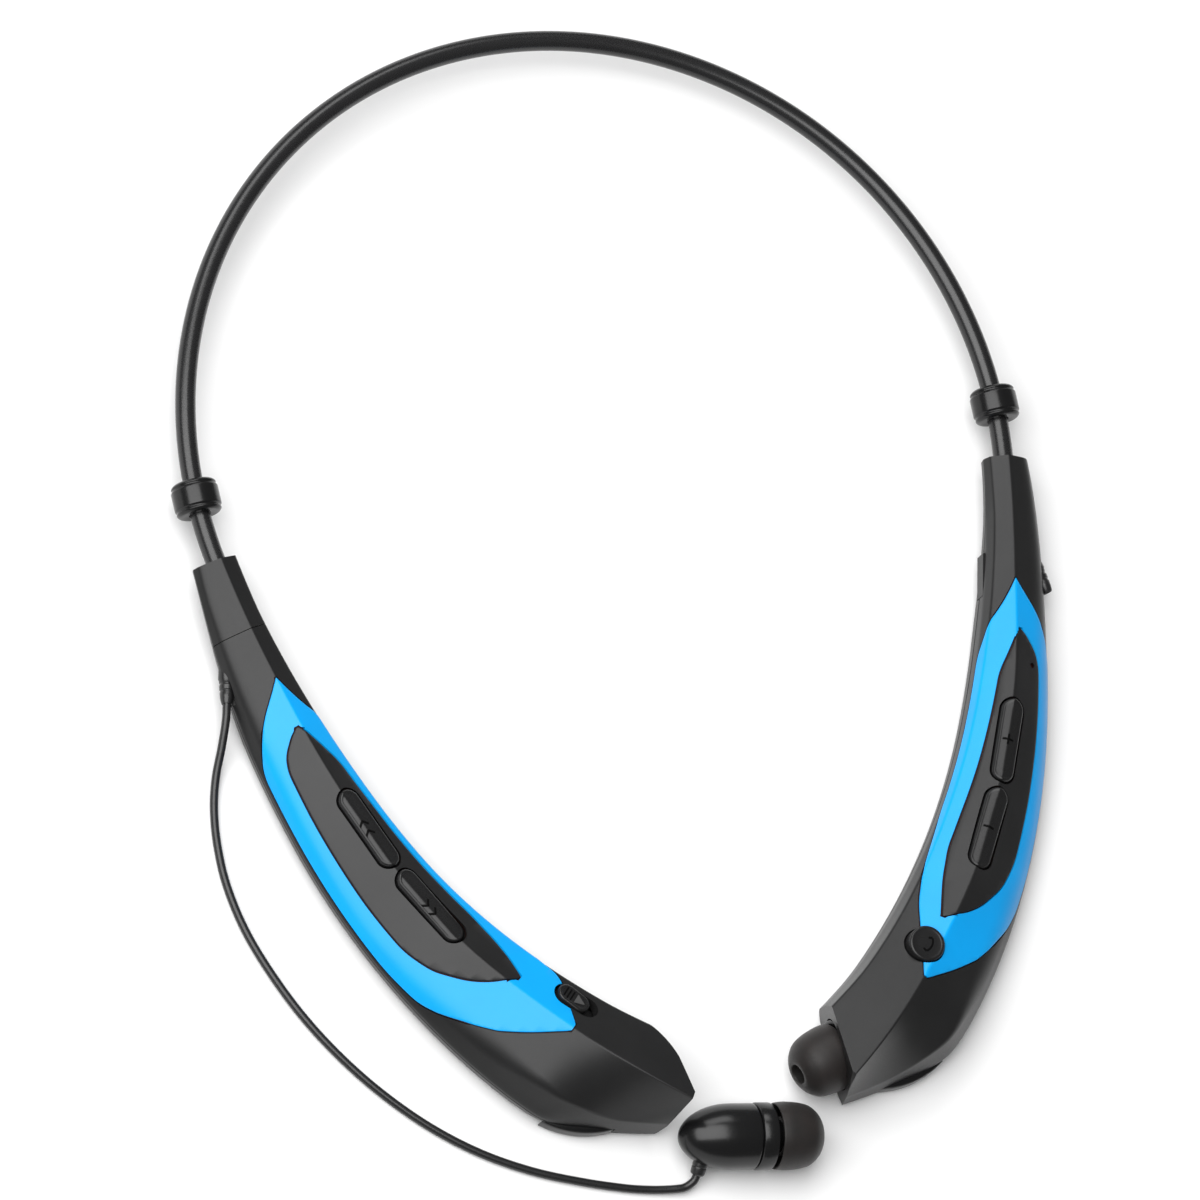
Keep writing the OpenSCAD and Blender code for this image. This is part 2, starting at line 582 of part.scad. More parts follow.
module left_bud_housing() loose() difference() {
    bud_housing();
    on_relief() cylinder(r = 1.3, h = 8);
}
module left_bud_front() loose() bud_front();
module left_bud_driver() loose() bud_driver();
module left_bud_mesh() loose() bud_mesh();
module left_ear_tip() loose() ear_tip();
module left_bud_strain_relief() loose() on_relief() color("#1a1a1a") difference() {
    translate([0, 0, 3.3]) cylinder(r = 1.3, h = relief_end - 3.3);
    translate([0, 0, 3]) cylinder(d = cord_d, h = 8);
}
module right_bud_housing() docked() bud_housing();
module right_bud_front() docked() bud_front();
module right_bud_driver() docked() bud_driver();
module right_bud_mesh() docked() bud_mesh();
module right_ear_tip() docked() ear_tip();

band_sleeve();
memory_wire();
band_signal_wire();
left_collar();
right_collar();
left_boot();
left_top_shell();
left_bottom_shell();
left_trim();
left_bezel();
previous_button();
next_button();
power_switch_knob();
power_switch_body();
left_button_board();
left_tact_switches();
battery();
left_dock_cup();
left_dock_magnet();
left_dock_pad();
left_screws();
left_cord_gland();
right_top_shell();
right_bottom_shell();
right_trim();
right_bezel();
volume_up_button();
volume_down_button();
call_button();
main_board();
call_button_board();
right_tact_switches();
bluetooth_module();
microphone();
vibration_motor();
usb_receptacle();
usb_cover();
right_dock_cup();
right_dock_magnet();
right_dock_pad();
right_screws();
right_cord_gland();
left_bud_housing();
left_bud_front();
left_bud_driver();
left_bud_mesh();
left_ear_tip();
left_bud_strain_relief();
left_cord();
right_bud_housing();
right_bud_front();
right_bud_driver();
right_bud_mesh();
right_ear_tip();
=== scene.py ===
"""The looks of a pair of neckband earphones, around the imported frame.

Shapes are worked out in millimetres for the right side, mirrored for the left one, and put into
Blender in metres. The arm's plan, its cross-section and the panels' outlines repeat part.scad.
"""
from functools import lru_cache
from math import acos, cos, hypot, pi, radians, sin, sqrt, tan

import bmesh
import bpy
from mathutils import Matrix, Vector


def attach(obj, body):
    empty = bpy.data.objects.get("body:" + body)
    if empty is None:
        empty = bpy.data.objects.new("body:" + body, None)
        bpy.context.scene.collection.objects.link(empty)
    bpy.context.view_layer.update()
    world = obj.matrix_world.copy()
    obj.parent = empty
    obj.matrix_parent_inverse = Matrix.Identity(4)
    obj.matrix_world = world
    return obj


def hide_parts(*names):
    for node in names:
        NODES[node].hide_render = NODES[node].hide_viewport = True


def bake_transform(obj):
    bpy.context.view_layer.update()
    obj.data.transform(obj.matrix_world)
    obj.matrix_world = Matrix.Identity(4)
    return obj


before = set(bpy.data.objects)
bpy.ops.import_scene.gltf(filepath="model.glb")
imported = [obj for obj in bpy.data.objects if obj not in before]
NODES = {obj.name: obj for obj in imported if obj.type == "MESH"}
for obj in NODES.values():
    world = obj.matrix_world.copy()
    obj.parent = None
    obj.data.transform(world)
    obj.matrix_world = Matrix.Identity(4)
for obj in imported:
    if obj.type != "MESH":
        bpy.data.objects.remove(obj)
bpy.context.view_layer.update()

MM = 0.001

# ---- The arm, as part.scad has it ----
# A side is 1 for the right arm and -1 for the left one.
BAND_R, BAND_D, BAND_Z, BAND_CY = 72.2, 3.4, 7, 26.12
BAND_DROP = radians(9)
BEND_1_R, BEND_2_R = 210, 135
BEND_1_TURN, BEND_2_TURN = radians(13), radians(31)
BEND_1_LEN, BEND_2_LEN = BEND_1_R * BEND_1_TURN, BEND_2_R * BEND_2_TURN
ARM_LEN = BEND_1_LEN + BEND_2_LEN
FACET_FALL = 0.4
SIDE_WALL = 1.3
TRIM_T = 0.8
SIDE_NAME = {1: "right", -1: "left"}


def side_dir(a):
    """The direction a below the X axis, in the plan."""
    return Vector((cos(a), -sin(a)))


BEND_1_CENTRE = Vector((0, BAND_CY)) + (BAND_R - BEND_1_R) * side_dir(BAND_DROP)
BEND_1_END = BEND_1_CENTRE + BEND_1_R * side_dir(BAND_DROP + BEND_1_TURN)
BEND_2_CENTRE = BEND_1_END - BEND_2_R * side_dir(BAND_DROP + BEND_1_TURN)


def heading(s):
    """How far the arm has turned inwards at s along it, in radians."""
    if s < BEND_1_LEN:
        return BAND_DROP + s / BEND_1_R
    return BAND_DROP + BEND_1_TURN + (s - BEND_1_LEN) / BEND_2_R


def at(s, w, z):
    """The point s along the arm, w outwards from its ridge and z above the table."""
    a = heading(s)
    centre, radius = (BEND_1_CENTRE, BEND_1_R) if s < BEND_1_LEN else (BEND_2_CENTRE, BEND_2_R)
    p = centre + (radius + w) * side_dir(a)
    return Vector((p.x, p.y, z))


def mix(a, b, t):
    return a + (b - a) * t


def ramp(s, a, b):
    """Rises smoothly from 0 at a to 1 at b."""
    t = min(1, max(0, (s - a) / (b - a)))
    return t * t * (3 - 2 * t)


def lookup(s, table):
    """The value at s in a table of (s, value), straight between its rows."""
    for (a, p), (b, q) in zip(table, table[1:]):
        if s <= b:
            return mix(p, q, max(0, (s - a) / (b - a)))
    return table[-1][1]


def ridge_z(s):
    return 9.9 + 0.7 * ramp(s, 0, 50) + 5.6 * ramp(s, 60, 121)


def ridge_shape(s):
    """1 along the bezel, where the ridge stands higher and further out, and 0 off it."""
    return ramp(s, 18, 42) * (1 - ramp(s, 74, 92))


def ridge_w(s):
    return 0.6 * ridge_shape(s)


def ridge_top(s):
    return ridge_z(s) + 0.7 * ridge_shape(s)


def outer_w(s):
    """The outer wall's distance from the ridge line: it grows from the band and closes at the tip."""
    growth = 4.3 + 8.1 * (1 - max(0, 1 - s / 98) ** 1.6)
    front = 2.2 + (ARM_LEN - s) * 0.57
    return (growth + front - hypot(growth - front, 1.2)) / 2


def inner_w(s):
    return 3.6 + 6.3 * max(0, (s - 10) / 100) ** 1.2 + 0.4 * ramp(s, 100, 114)


def tip_fade(s):
    """0 along the arm, 1 at its tip."""
    return ramp(s, 98, 114)


def base_z(s):
    return 3.7 * (1 - ramp(s, 0, 32))


def split_z(s):
    """Height of the parting line."""
    return mix(4 + 3 * (1 - ramp(s, 0, 32)), 1.6, tip_fade(s))


@lru_cache(maxsize=None)
def top_corners(s, side_in=0, top_in=0):
    """The arm's upper contour (w, z), from the outer side over the ridge to the inner side,
    or the same contour further in by the thickness of the side walls and of the top."""
    low = split_z(s)
    ow, iw = outer_w(s), inner_w(s)
    oe, ie = (0.8 + 0.08 * tip_fade(s)) * ow, iw - 0.6
    oz = mix(4.8 + 2.1 * (1 - ramp(s, 0, 32)), 2.2, tip_fade(s))
    oez = mix(ridge_z(s) - FACET_FALL * oe, 6.4, tip_fade(s))
    iez = ridge_z(s) - FACET_FALL * ie
    iz = min(iez - 1, 6.4)
    return ((max(0.3, ow - side_in), low),
            (max(0.3, ow - side_in), max(low + 0.1, oz - 0.3 * top_in)),
            (max(0.2, oe - 0.7 * side_in), oez - 0.9 * top_in),
            (ridge_w(s), ridge_top(s) - 1.08 * top_in),
            (-ie + 0.7 * side_in, iez - 0.9 * top_in),
            (-iw + side_in, max(low + 0.1, iz - 0.3 * top_in)),
            (-iw + side_in, low))


def corner_round(k, s):
    """How far the rounding of corner k reaches along its two sides, in millimetres."""
    outer_edge = mix(3.0, 0.35, ramp(s, 86, 108))
    return (0, 1.2, outer_edge, 0.3, 0.4, 0.5)[k]


@lru_cache(maxsize=None)
def reach(k, s):
    """The same in steps of v, which runs from 0 to 6 over the corners of the contour."""
    c = top_corners(s)
    before = hypot(c[k][0] - c[k - 1][0], c[k][1] - c[k - 1][1])
    after = hypot(c[k + 1][0] - c[k][0], c[k + 1][1] - c[k][1])
    r = corner_round(k, s)
    return min(0.46, r / max(before, 0.01)), min(0.46, r / max(after, 0.01))


def profile(s, v):
    """The rounded upper contour at v."""
    c = top_corners(s)
    k = min(5, max(1, round(v)))
    before, after = reach(k, s)
    if k - before < v < k + after:
        t = (v - k + before) / (before + after)
        weights = ((1 - t) ** 2, 2 * t * (1 - t), t * t)
        a = [mix(c[k][i], c[k - 1][i], before) for i in (0, 1)]
        b = [mix(c[k][i], c[k + 1][i], after) for i in (0, 1)]
        return [weights[0] * a[i] + weights[1] * c[k][i] + weights[2] * b[i] for i in (0, 1)]
    j = min(5, max(0, int(v)))
    return [mix(c[j][i], c[j + 1][i], v - j) for i in (0, 1)]


@lru_cache(maxsize=None)
def columns(s):
    """Values of v that follow the contour closely, dense on its rounded corners."""
    vs = [0.0, 0.12]
    for k in range(1, 6):
        before, after = reach(k, s)
        last, start = vs[-1], k - before
        vs += [mix(last, start, i / 4) for i in range(1, 5)]
        steps = 10 if k == 2 else 6
        vs += [mix(start, k + after, i / steps) for i in range(1, steps + 1)]
    last = vs[-1]
    return tuple(vs + [mix(last, 6, t) for t in (0.3, 0.6, 0.9, 1)])


def surface(s, v, lift=0.0):
    """A point on the arm's upper surface, or lift above it."""
    w, z = profile(s, v)
    if lift:
        p, q = profile(s, max(0, v - 0.004)), profile(s, min(6, v + 0.004))
        dw, dz = q[0] - p[0], q[1] - p[1]
        n = max(1e-9, hypot(dw, dz))
        w, z = w + lift * dz / n, z - lift * dw / n
    return at(s, w, z)


# ---- Outlines of the panels as [s, u], where u = 3 - v: 0 on the ridge, 1 and -1 on the edges ----
TRIM_OUTER = ((22, 0), (23, 0.16), (25, 0.45), (28, 0.9), (31, 1.3), (35, 1.98), (70, 1.98), (77, 1.75),
              (83, 1.15), (88, 0.8), (93, 0.45), (98, 0.06))
TRIM_INNER = {
    1: ((22, 0), (24.5, -0.3), (27, -0.6), (30, -1), (36, -1.98), (66, -1.98), (73, -1.5), (79, -1),
        (85, -0.8), (90, -0.5), (98, -0.02)),
    -1: ((22, 0), (24.5, -0.3), (27, -0.6), (30, -1), (36, -1.98), (74, -1.98), (82, -1.4),
         (88, -1.02), (92, -0.9), (98, -0.1))}
BEZEL_OUTER = ((31, 0.15), (33, 0.55), (36, 0.8), (45, 0.86), (60, 0.88), (70, 0.86), (75, 0.7),
               (81, 0.36), (84.6, 0.03), (86, -0.2))
BEZEL_INNER = {
    1: ((31, 0.1), (34, -0.12), (39, -0.46), (49, -0.54), (58, -0.6), (66, -0.66), (73, -0.68),
        (79, -0.54), (83, -0.38), (86, -0.24)),
    -1: ((31, 0.1), (34, -0.25), (39, -0.65), (49, -0.76), (58, -0.78), (66, -0.8), (73, -0.78),
         (79, -0.66), (83, -0.5), (86, -0.3))}


def smooth_lookup(s, table):
    """The outline with its corners eased over a few millimetres."""
    reach_mm, n = 1.6, 4
    spots = [min(table[-1][0], max(table[0][0], s + reach_mm * i / n)) for i in range(-n, n + 1)]
    near_end = min(1, (s - table[0][0]) / reach_mm, (table[-1][0] - s) / reach_mm)
    eased = sum(lookup(x, table) for x in spots) / len(spots)
    return mix(lookup(s, table), eased, max(0, near_end))


# ---- Making meshes ----
MERGE, SLIVER = 0.002, 0.001


def raw_mesh(name, points, faces):
    """An object of points in millimetres, with its faces turned outwards."""
    mesh = bpy.data.meshes.new(name)
    mesh.from_pydata([tuple(p) for p in points], [], faces)
    obj = bpy.data.objects.new(name, mesh)
    bpy.context.scene.collection.objects.link(obj)
    bm = bmesh.new()
    bm.from_mesh(mesh)
    bmesh.ops.recalc_face_normals(bm, faces=bm.faces)
    bm.to_mesh(mesh)
    bm.free()
    return obj


def loft(name, rings):
    """A closed solid through rings of the same number of points, with flat ends."""
    n, m = len(rings[0]), len(rings)
    faces = [(k * n + i, k * n + (i + 1) % n, (k + 1) * n + (i + 1) % n, (k + 1) * n + i)
             for k in range(m - 1) for i in range(n)]
    return raw_mesh(name, [p for ring in rings for p in ring],
                    faces + [tuple(range(n)), tuple(range((m - 1) * n, m * n))])


def lathe(name, profile_xr, place=Matrix(), segments=72):
    """A turned solid: (x, r) points along and away from the place's own X axis.
    The profile starts and ends on the axis, or closes on itself."""
    on_axis = profile_xr[0][1] == 0
    points, rows = [], []
    for x, r in profile_xr:
        if r == 0:
            rows.append([len(points)] * segments)
            points.append(place @ Vector((x, 0, 0)))
            continue
        rows.append(list(range(len(points), len(points) + segments)))
        points += [place @ Vector((x, r * cos(2 * pi * i / segments), r * sin(2 * pi * i / segments)))
                   for i in range(segments)]
    pairs = list(zip(rows, rows[1:])) + ([] if on_axis else [(rows[-1], rows[0])])
    faces = []
    for a, b in pairs:
        for i in range(segments):
            j = (i + 1) % segments
            face = list(dict.fromkeys((a[i], a[j], b[j], b[i])))
            if len(face) > 2:
                faces.append(face)
    return raw_mesh(name, points, faces)


def rounded(points, radii, steps=5, closed=False):
    """A line of (x, y) points with its corners rounded; a radius is how far the rounding reaches."""
    n = len(points)
    out = []
    for i, p in enumerate(points):
        r = radii if isinstance(radii, (int, float)) else radii[i]
        if r == 0 or (not closed and i in (0, n - 1)):
            out.append(tuple(p))
            continue
        here, a, b = Vector(p), Vector(points[i - 1]), Vector(points[(i + 1) % n])
        ra, rb = min(r, 0.45 * (a - here).length), min(r, 0.45 * (b - here).length)
        start, end = here + (a - here).normalized() * ra, here + (b - here).normalized() * rb
        for k in range(steps + 1):
            t = k / steps
            out.append(tuple(start * (1 - t) ** 2 + here * 2 * t * (1 - t) + end * t * t))
    return out


def prism(name, outline, z_lo, z_hi, place=Matrix()):
    """A flat outline (x, y), raised from z_lo to z_hi."""
    rings = [[place @ Vector((x, y, z)) for x, y in outline] for z in (z_lo, z_hi)]
    return loft(name, rings)


def stadium(length, width, n=20):
    """Outline of a slot along Y with round ends."""
    r, half = width / 2, (length - width) / 2
    top = [(r * cos(pi * i / n), half + r * sin(pi * i / n)) for i in range(n + 1)]
    return top + [(-x, -y) for x, y in top]


def circle(r, n=64):
    """Outline of a circle."""
    return [(r * cos(2 * pi * i / n), r * sin(2 * pi * i / n)) for i in range(n)]


def boxed(x, y):
    """Outline of a rectangle."""
    return [(-x / 2, -y / 2), (x / 2, -y / 2), (x / 2, y / 2), (-x / 2, y / 2)]


def station(s, w, z):
    """A place on the arm: X points outwards and -Y runs ahead."""
    return Matrix.Translation(at(s, w, z)) @ Matrix.Rotation(-heading(s), 4, "Z")


def boolean(solid, operation, tools):
    """Takes tools out of a solid, or joins them to it, and removes them."""
    for tool in tools:
        modifier = solid.modifiers.new("tool", "BOOLEAN")
        modifier.operation, modifier.object, modifier.solver = operation, tool, "MANIFOLD"
    depsgraph = bpy.context.evaluated_depsgraph_get()
    mesh = bpy.data.meshes.new_from_object(solid.evaluated_get(depsgraph))
    solid.modifiers.clear()
    old, solid.data = solid.data, mesh
    bpy.data.meshes.remove(old)
    for tool in tools:
        bpy.data.objects.remove(tool)
    return solid


def cut(solid, *tools):
    return boolean(solid, "DIFFERENCE", tools)


def finish_piece(obj, body, material, replaced=(), side=1, sharp=32, blended=None):
    """Scales a piece to metres, mirrors it for the left side, smooths and paints it, and gives it
    to its body, or, when blended is given, bakes its place into its points and leaves it without a body.
    Edges over sharp degrees stay crisp."""
    bm = bmesh.new()
    bm.from_mesh(obj.data)
    bmesh.ops.remove_doubles(bm, verts=bm.verts, dist=MERGE)
    bmesh.ops.dissolve_degenerate(bm, edges=bm.edges, dist=SLIVER)
    bmesh.ops.transform(bm, matrix=Matrix.Diagonal((MM * side, MM, MM, 1)), verts=bm.verts)
    if side < 0:
        bmesh.ops.reverse_faces(bm, faces=bm.faces)
    bm.to_mesh(obj.data)
    bm.free()
    obj.data.shade_smooth()
    obj.data.set_sharp_from_angle(angle=radians(sharp))
    obj.data.materials.clear()
    obj.data.materials.append(material)
    if blended:
        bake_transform(obj)
    else:
        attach(obj, body)
    if replaced:
        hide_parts(*replaced)
    return obj


# ---- Materials ----
NOISE_SPAN = (0.3, 0.7)
GRAIN_HEIGHT = 0.05 * MM


def material(name, colour, roughness, *, metallic=0.0, specular=0.5, coat=0.0, coat_roughness=0.1,
             sheen=0.0, vary=0.12, grain=6000.0, bump=0.05, blotch=120.0,
             rough_spread=0.06, tint=None, stretch=(1, 1, 1)):
    """A plastic, rubber or metal with fine grain, slow colour change and uneven gloss."""
    m = bpy.data.materials.new(name)
    m.use_nodes = True
    nodes, links = m.node_tree.nodes, m.node_tree.links
    shader = nodes["Principled BSDF"]
    inputs = shader.inputs
    for socket, value in (("Metallic", metallic), ("Specular IOR Level", specular),
                          ("Coat Weight", coat), ("Coat Roughness", coat_roughness),
                          ("Sheen Weight", sheen)):
        inputs[socket].default_value = value
    coords = nodes.new("ShaderNodeTexCoord")
    mapping = nodes.new("ShaderNodeMapping")
    mapping.inputs["Scale"].default_value = stretch
    links.new(coords.outputs["Object"], mapping.inputs["Vector"])

    def noise(scale, detail):
        node = nodes.new("ShaderNodeTexNoise")
        node.inputs["Scale"].default_value = scale
        node.inputs["Detail"].default_value = detail
        links.new(mapping.outputs["Vector"], node.inputs["Vector"])
        return node.outputs["Fac"]

    slow, fine = noise(blotch, 3.0), noise(grain, 2.0)
    shades = nodes.new("ShaderNodeValToRGB")
    low = [c * (1 - vary) for c in colour]
    high = [min(1.0, c * (1 + vary)) for c in (tint or colour)]
    for element, position, shade in zip(shades.color_ramp.elements, NOISE_SPAN, (low, high)):
        element.position, element.color = position, (*shade, 1)
    links.new(slow, shades.inputs["Fac"])
    links.new(shades.outputs["Color"], inputs["Base Color"])
    spread = nodes.new("ShaderNodeMapRange")
    spread.inputs["From Min"].default_value, spread.inputs["From Max"].default_value = NOISE_SPAN
    spread.inputs["To Min"].default_value = max(0.02, roughness - rough_spread)
    spread.inputs["To Max"].default_value = min(1.0, roughness + rough_spread)
    links.new(fine, spread.inputs["Value"])
    links.new(spread.outputs["Result"], inputs["Roughness"])
    bump_node = nodes.new("ShaderNodeBump")
    bump_node.inputs["Strength"].default_value = bump
    bump_node.inputs["Distance"].default_value = GRAIN_HEIGHT
    links.new(fine, bump_node.inputs["Height"])
    links.new(bump_node.outputs["Normal"], inputs["Normal"])
    return m


SHELL = material("shell_plastic", (0.011, 0.011, 0.0112), 0.38, specular=0.32, bump=0.12, grain=7000)
BEZEL = material("bezel_plastic", (0.012, 0.012, 0.0123), 0.34, specular=0.32, bump=0.08, grain=9000)
BUTTON = material("button_plastic", (0.01, 0.01, 0.0103), 0.3, specular=0.34, bump=0.05, grain=9000)
PALE_MARK = material("mark_grey", (0.07, 0.07, 0.07), 0.5, specular=0.3, bump=0.03)
SYMBOL = material("symbol_ink", (0.0015, 0.0015, 0.0015), 0.6, specular=0.06, bump=0.03)
BLUE = material("trim_blue", (0.0, 0.34, 0.8), 0.38, specular=0.25, vary=0.03, bump=0.03,
                grain=12000, coat=0.1, coat_roughness=0.2, rough_spread=0.03)
GAP = material("gap_red", (0.03, 0.007, 0.004), 0.6, specular=0.2)
GLOSS = material("gloss_black", (0.006, 0.006, 0.0062), 0.24, specular=0.36, vary=0.08, bump=0.02,
                 grain=4000, rough_spread=0.03)
BAND = material("band_rubber", (0.011, 0.011, 0.0115), 0.27, specular=0.5, bump=0.05, grain=5000)
SILICONE = material("tip_silicone", (0.013, 0.0118, 0.0113), 0.5, specular=0.28, sheen=0.05,
                    vary=0.1, bump=0.1, grain=5000, blotch=260, tint=(0.016, 0.0128, 0.012))
CORD = material("cord_rubber", (0.011, 0.011, 0.0115), 0.32, specular=0.5, bump=0.06, grain=5000)
STEEL = material("steel", (0.55, 0.55, 0.56), 0.32, metallic=1.0, vary=0.06, bump=0.1, grain=3000,
                 stretch=(1, 0.15, 1))
PCB = material("pcb", (0.015, 0.12, 0.045), 0.4, vary=0.15, bump=0.1, grain=2500, blotch=500)
SWITCHES = material("switch_body", (0.6, 0.6, 0.58), 0.4, vary=0.05)
FOIL = material("foil", (0.5, 0.52, 0.55), 0.35, metallic=0.9, vary=0.08, bump=0.25, grain=900)
COPPER = material("copper", (0.45, 0.1, 0.06), 0.4, vary=0.1)
PAPER = material("floor_paper", (0.86, 0.86, 0.86), 0.7, specular=0.2, vary=0.006, bump=0.02,
                 grain=900, blotch=20)


# ---- Camera, far off with a narrow view ----
TARGET = Vector((-6.79, -0.33, 8.0)) * MM
TO_CAMERA = Vector((-0.3742, -0.2430, 0.8949)).normalized()
CAMERA_UP = Vector((0.123, 0.9436, 0.3078))
CAMERA_FAR = 2.0
FRAME_WIDTH = 0.19909
SENSOR = 36.0


def make_camera():
    up = (CAMERA_UP - TO_CAMERA * CAMERA_UP.dot(TO_CAMERA)).normalized()
    right = up.cross(TO_CAMERA)
    data = bpy.data.cameras.new("camera")
    data.sensor_width = SENSOR
    data.lens = SENSOR * CAMERA_FAR / FRAME_WIDTH
    data.clip_end = 20
    camera = bpy.data.objects.new("camera", data)
    axes = Matrix((right, up, TO_CAMERA)).transposed().to_4x4()
    camera.matrix_world = Matrix.Translation(TARGET + TO_CAMERA * CAMERA_FAR) @ axes
    bpy.context.scene.collection.objects.link(camera)
    bpy.context.scene.camera = camera


make_camera()

# ---- The left earbud's cord ----
CORD_D = 1.4
CORD_ROUTE = (
    (-73.9, -33.3, 4.9), (-74.3, -34.8, 4.9), (-75, -37.5, 4.6), (-76.2, -41.5, 3.1),
    (-77.7, -45.9, 1.4), (-79, -50.9, 0.8), (-79.8, -56.9, 0.7), (-79.8, -63.9, 0.7),
    (-78.4, -71.9, 0.7), (-75.6, -79.9, 0.7), (-71.8, -87.9, 0.7), (-67, -95.5, 0.7),
    (-61.2, -102.7, 0.7), (-54.4, -109.3, 0.7), (-47, -114.7, 0.7), (-39, -118.9, 0.7),
    (-31, -121.9, 0.7), (-24, -124, 0.7), (-20, -124.9, 0.75), (-17, -125.4, 0.95),
    (-14.6, -125.65, 1.2), (-13.6, -125.6, 1.3), (-12.7, -125.3, 1.55), (-11.9, -124.8, 1.95),
    (-11.47, -124.12, 2.37))


def curve(points, n):
    """A smooth line through points, n steps to each."""
    out = []
    for i in range(len(points) - 1):
        a, b = points[max(0, i - 1)], points[i]
        c, d = points[i + 1], points[min(len(points) - 1, i + 2)]
        for k in range(n):
            t = k / n
            out.append(0.5 * (2 * b + (c - a) * t + (2 * a - 5 * b + 4 * c - d) * t * t
                              + (3 * b - a - 3 * c + d) * t ** 3))
    return out + [points[-1]]


def tube(name, path, radius, sides=20):
    """A round tube along a path."""
    rings = []
    for i, p in enumerate(path):
        t = (path[min(len(path) - 1, i + 1)] - path[max(0, i - 1)]).normalized()
        across = t.cross(Vector((0, 0, 1))).normalized()
        up = across.cross(t)
        rings.append([p + radius * (cos(2 * pi * k / sides) * across + sin(2 * pi * k / sides) * up)
                      for k in range(sides)])
    return loft(name, rings)


cord_points = [Vector((x, y + BAND_CY, z)) for x, y, z in CORD_ROUTE]
cord_line = curve(cord_points, 6)
cord_bend = ("left_arm", "left_bud", cord_points[5] * MM, cord_points[-8] * MM)
cord = finish_piece(tube("left_cord_tube", cord_line, CORD_D / 2 - 0.01), "left_arm",
                    CORD, ("left_cord",), sharp=50, blended=cord_bend)

# ---- The band, its wires and its collars ----
BAND_PLACE = Matrix.Translation((0, BAND_CY, BAND_Z))
BEND_HALF = 40
BAND_BEND = ("left_arm", "right_arm",
             *((x * MM, (BAND_CY + BAND_R) * MM, BAND_Z * MM) for x in (-BEND_HALF, BEND_HALF)))
WIRE_LIFT, SIGNAL_LIFT = -0.7, 0.75
COLLAR_AT = {-1: 180, 1: -1.2}


def band_ring(a, radius, z=0.0, sides=28):
    """A ring of points around the band's middle line, at the angle a on its circle."""
    out = Vector((cos(a), sin(a), 0))
    turns = [2 * pi * k / sides for k in range(sides)]
    return [BAND_PLACE @ (out * (BAND_R + radius * cos(t)) + Vector((0, 0, z + radius * sin(t))))
            for t in turns]


def arc_tube(name, radius, drop_deg, z=0.0, sides=28, rounds=220):
    """A tube on the band's circle, past the half circle by drop_deg at both ends."""
    lo, hi = -radians(drop_deg), pi + radians(drop_deg)
    return loft(name, [band_ring(mix(lo, hi, i / rounds), radius, z, sides) for i in range(rounds + 1)])


band = cut(arc_tube("band_tube", BAND_D / 2, 17), arc_tube("wire_bore", 0.65, 18, WIRE_LIFT, 16),
           arc_tube("signal_bore", 0.55, 18, SIGNAL_LIFT, 16))
finish_piece(band, "left_arm", BAND, ("band_sleeve",), blended=BAND_BEND)
finish_piece(arc_tube("memory_wire_core", 0.6, 20, WIRE_LIFT, 16), "left_arm", STEEL,
             ("memory_wire",), blended=BAND_BEND)
finish_piece(arc_tube("signal_wire_core", 0.5, 22, SIGNAL_LIFT, 14), "left_arm", COPPER,
             ("band_signal_wire",), blended=BAND_BEND)


def collar(side):
    """A turned collar that slides on the band, with a shallow groove at each end."""
    half, r = 2.75, 3.95
    line = [(-half, 1.78), (-half, r - 0.75), (-half + 0.12, r - 0.45), (-half + 0.5, r - 0.12),
            (-half + 0.75, r - 0.28), (-half + 0.95, r - 0.28), (-half + 1.15, r), (half - 1.15, r),
            (half - 0.95, r - 0.28), (half - 0.75, r - 0.28), (half - 0.5, r - 0.12),
            (half - 0.12, r - 0.45), (half, r - 0.75), (half, 1.78)]
    place = (BAND_PLACE @ Matrix.Rotation(radians(COLLAR_AT[side]), 4, "Z")
             @ Matrix.Translation((BAND_R, 0, 0)) @ Matrix.Rotation(pi / 2, 4, "Z"))
    piece = lathe(SIDE_NAME[side] + "_collar_ring", rounded(line, 0.2, 3, closed=True), place)
    finish_piece(piece, SIDE_NAME[side] + "_collar", GLOSS,
                 (SIDE_NAME[side] + "_collar",), sharp=50)


collar(-1)
collar(1)

# ---- Places of the earbuds ----
NOSE_LEN, HOUSING_LEN, FRONT_LEN, BUD_LEN = 9, 13.1, 2.8, 24.7
BUD_R, TIP_R = 5.5, 5.7
DOCKED = Matrix.Translation((32.1, BAND_CY - 103.42, 6.5)) @ Matrix.Rotation(radians(197.5), 4, "Z")
LOOSE = (Matrix.Translation((-14.4, BAND_CY - 118.1, TIP_R + 0.01))
         @ Matrix.Rotation(radians(-7.6), 4, "Z"))
RELIEF = (LOOSE @ Matrix.Translation((5.2, 0, 0)) @ Matrix.Rotation(radians(-15), 4, "Z")
          @ Matrix.Rotation(radians(120), 4, "X") @ Matrix.Rotation(-pi / 2, 4, "Y"))


def nose_r(x):
    """Radius of an earbud's housing, x from its rounded back."""
    return BUD_R * (1 - (1 - x / NOSE_LEN) ** 2) ** 0.52 if x < NOSE_LEN else BUD_R


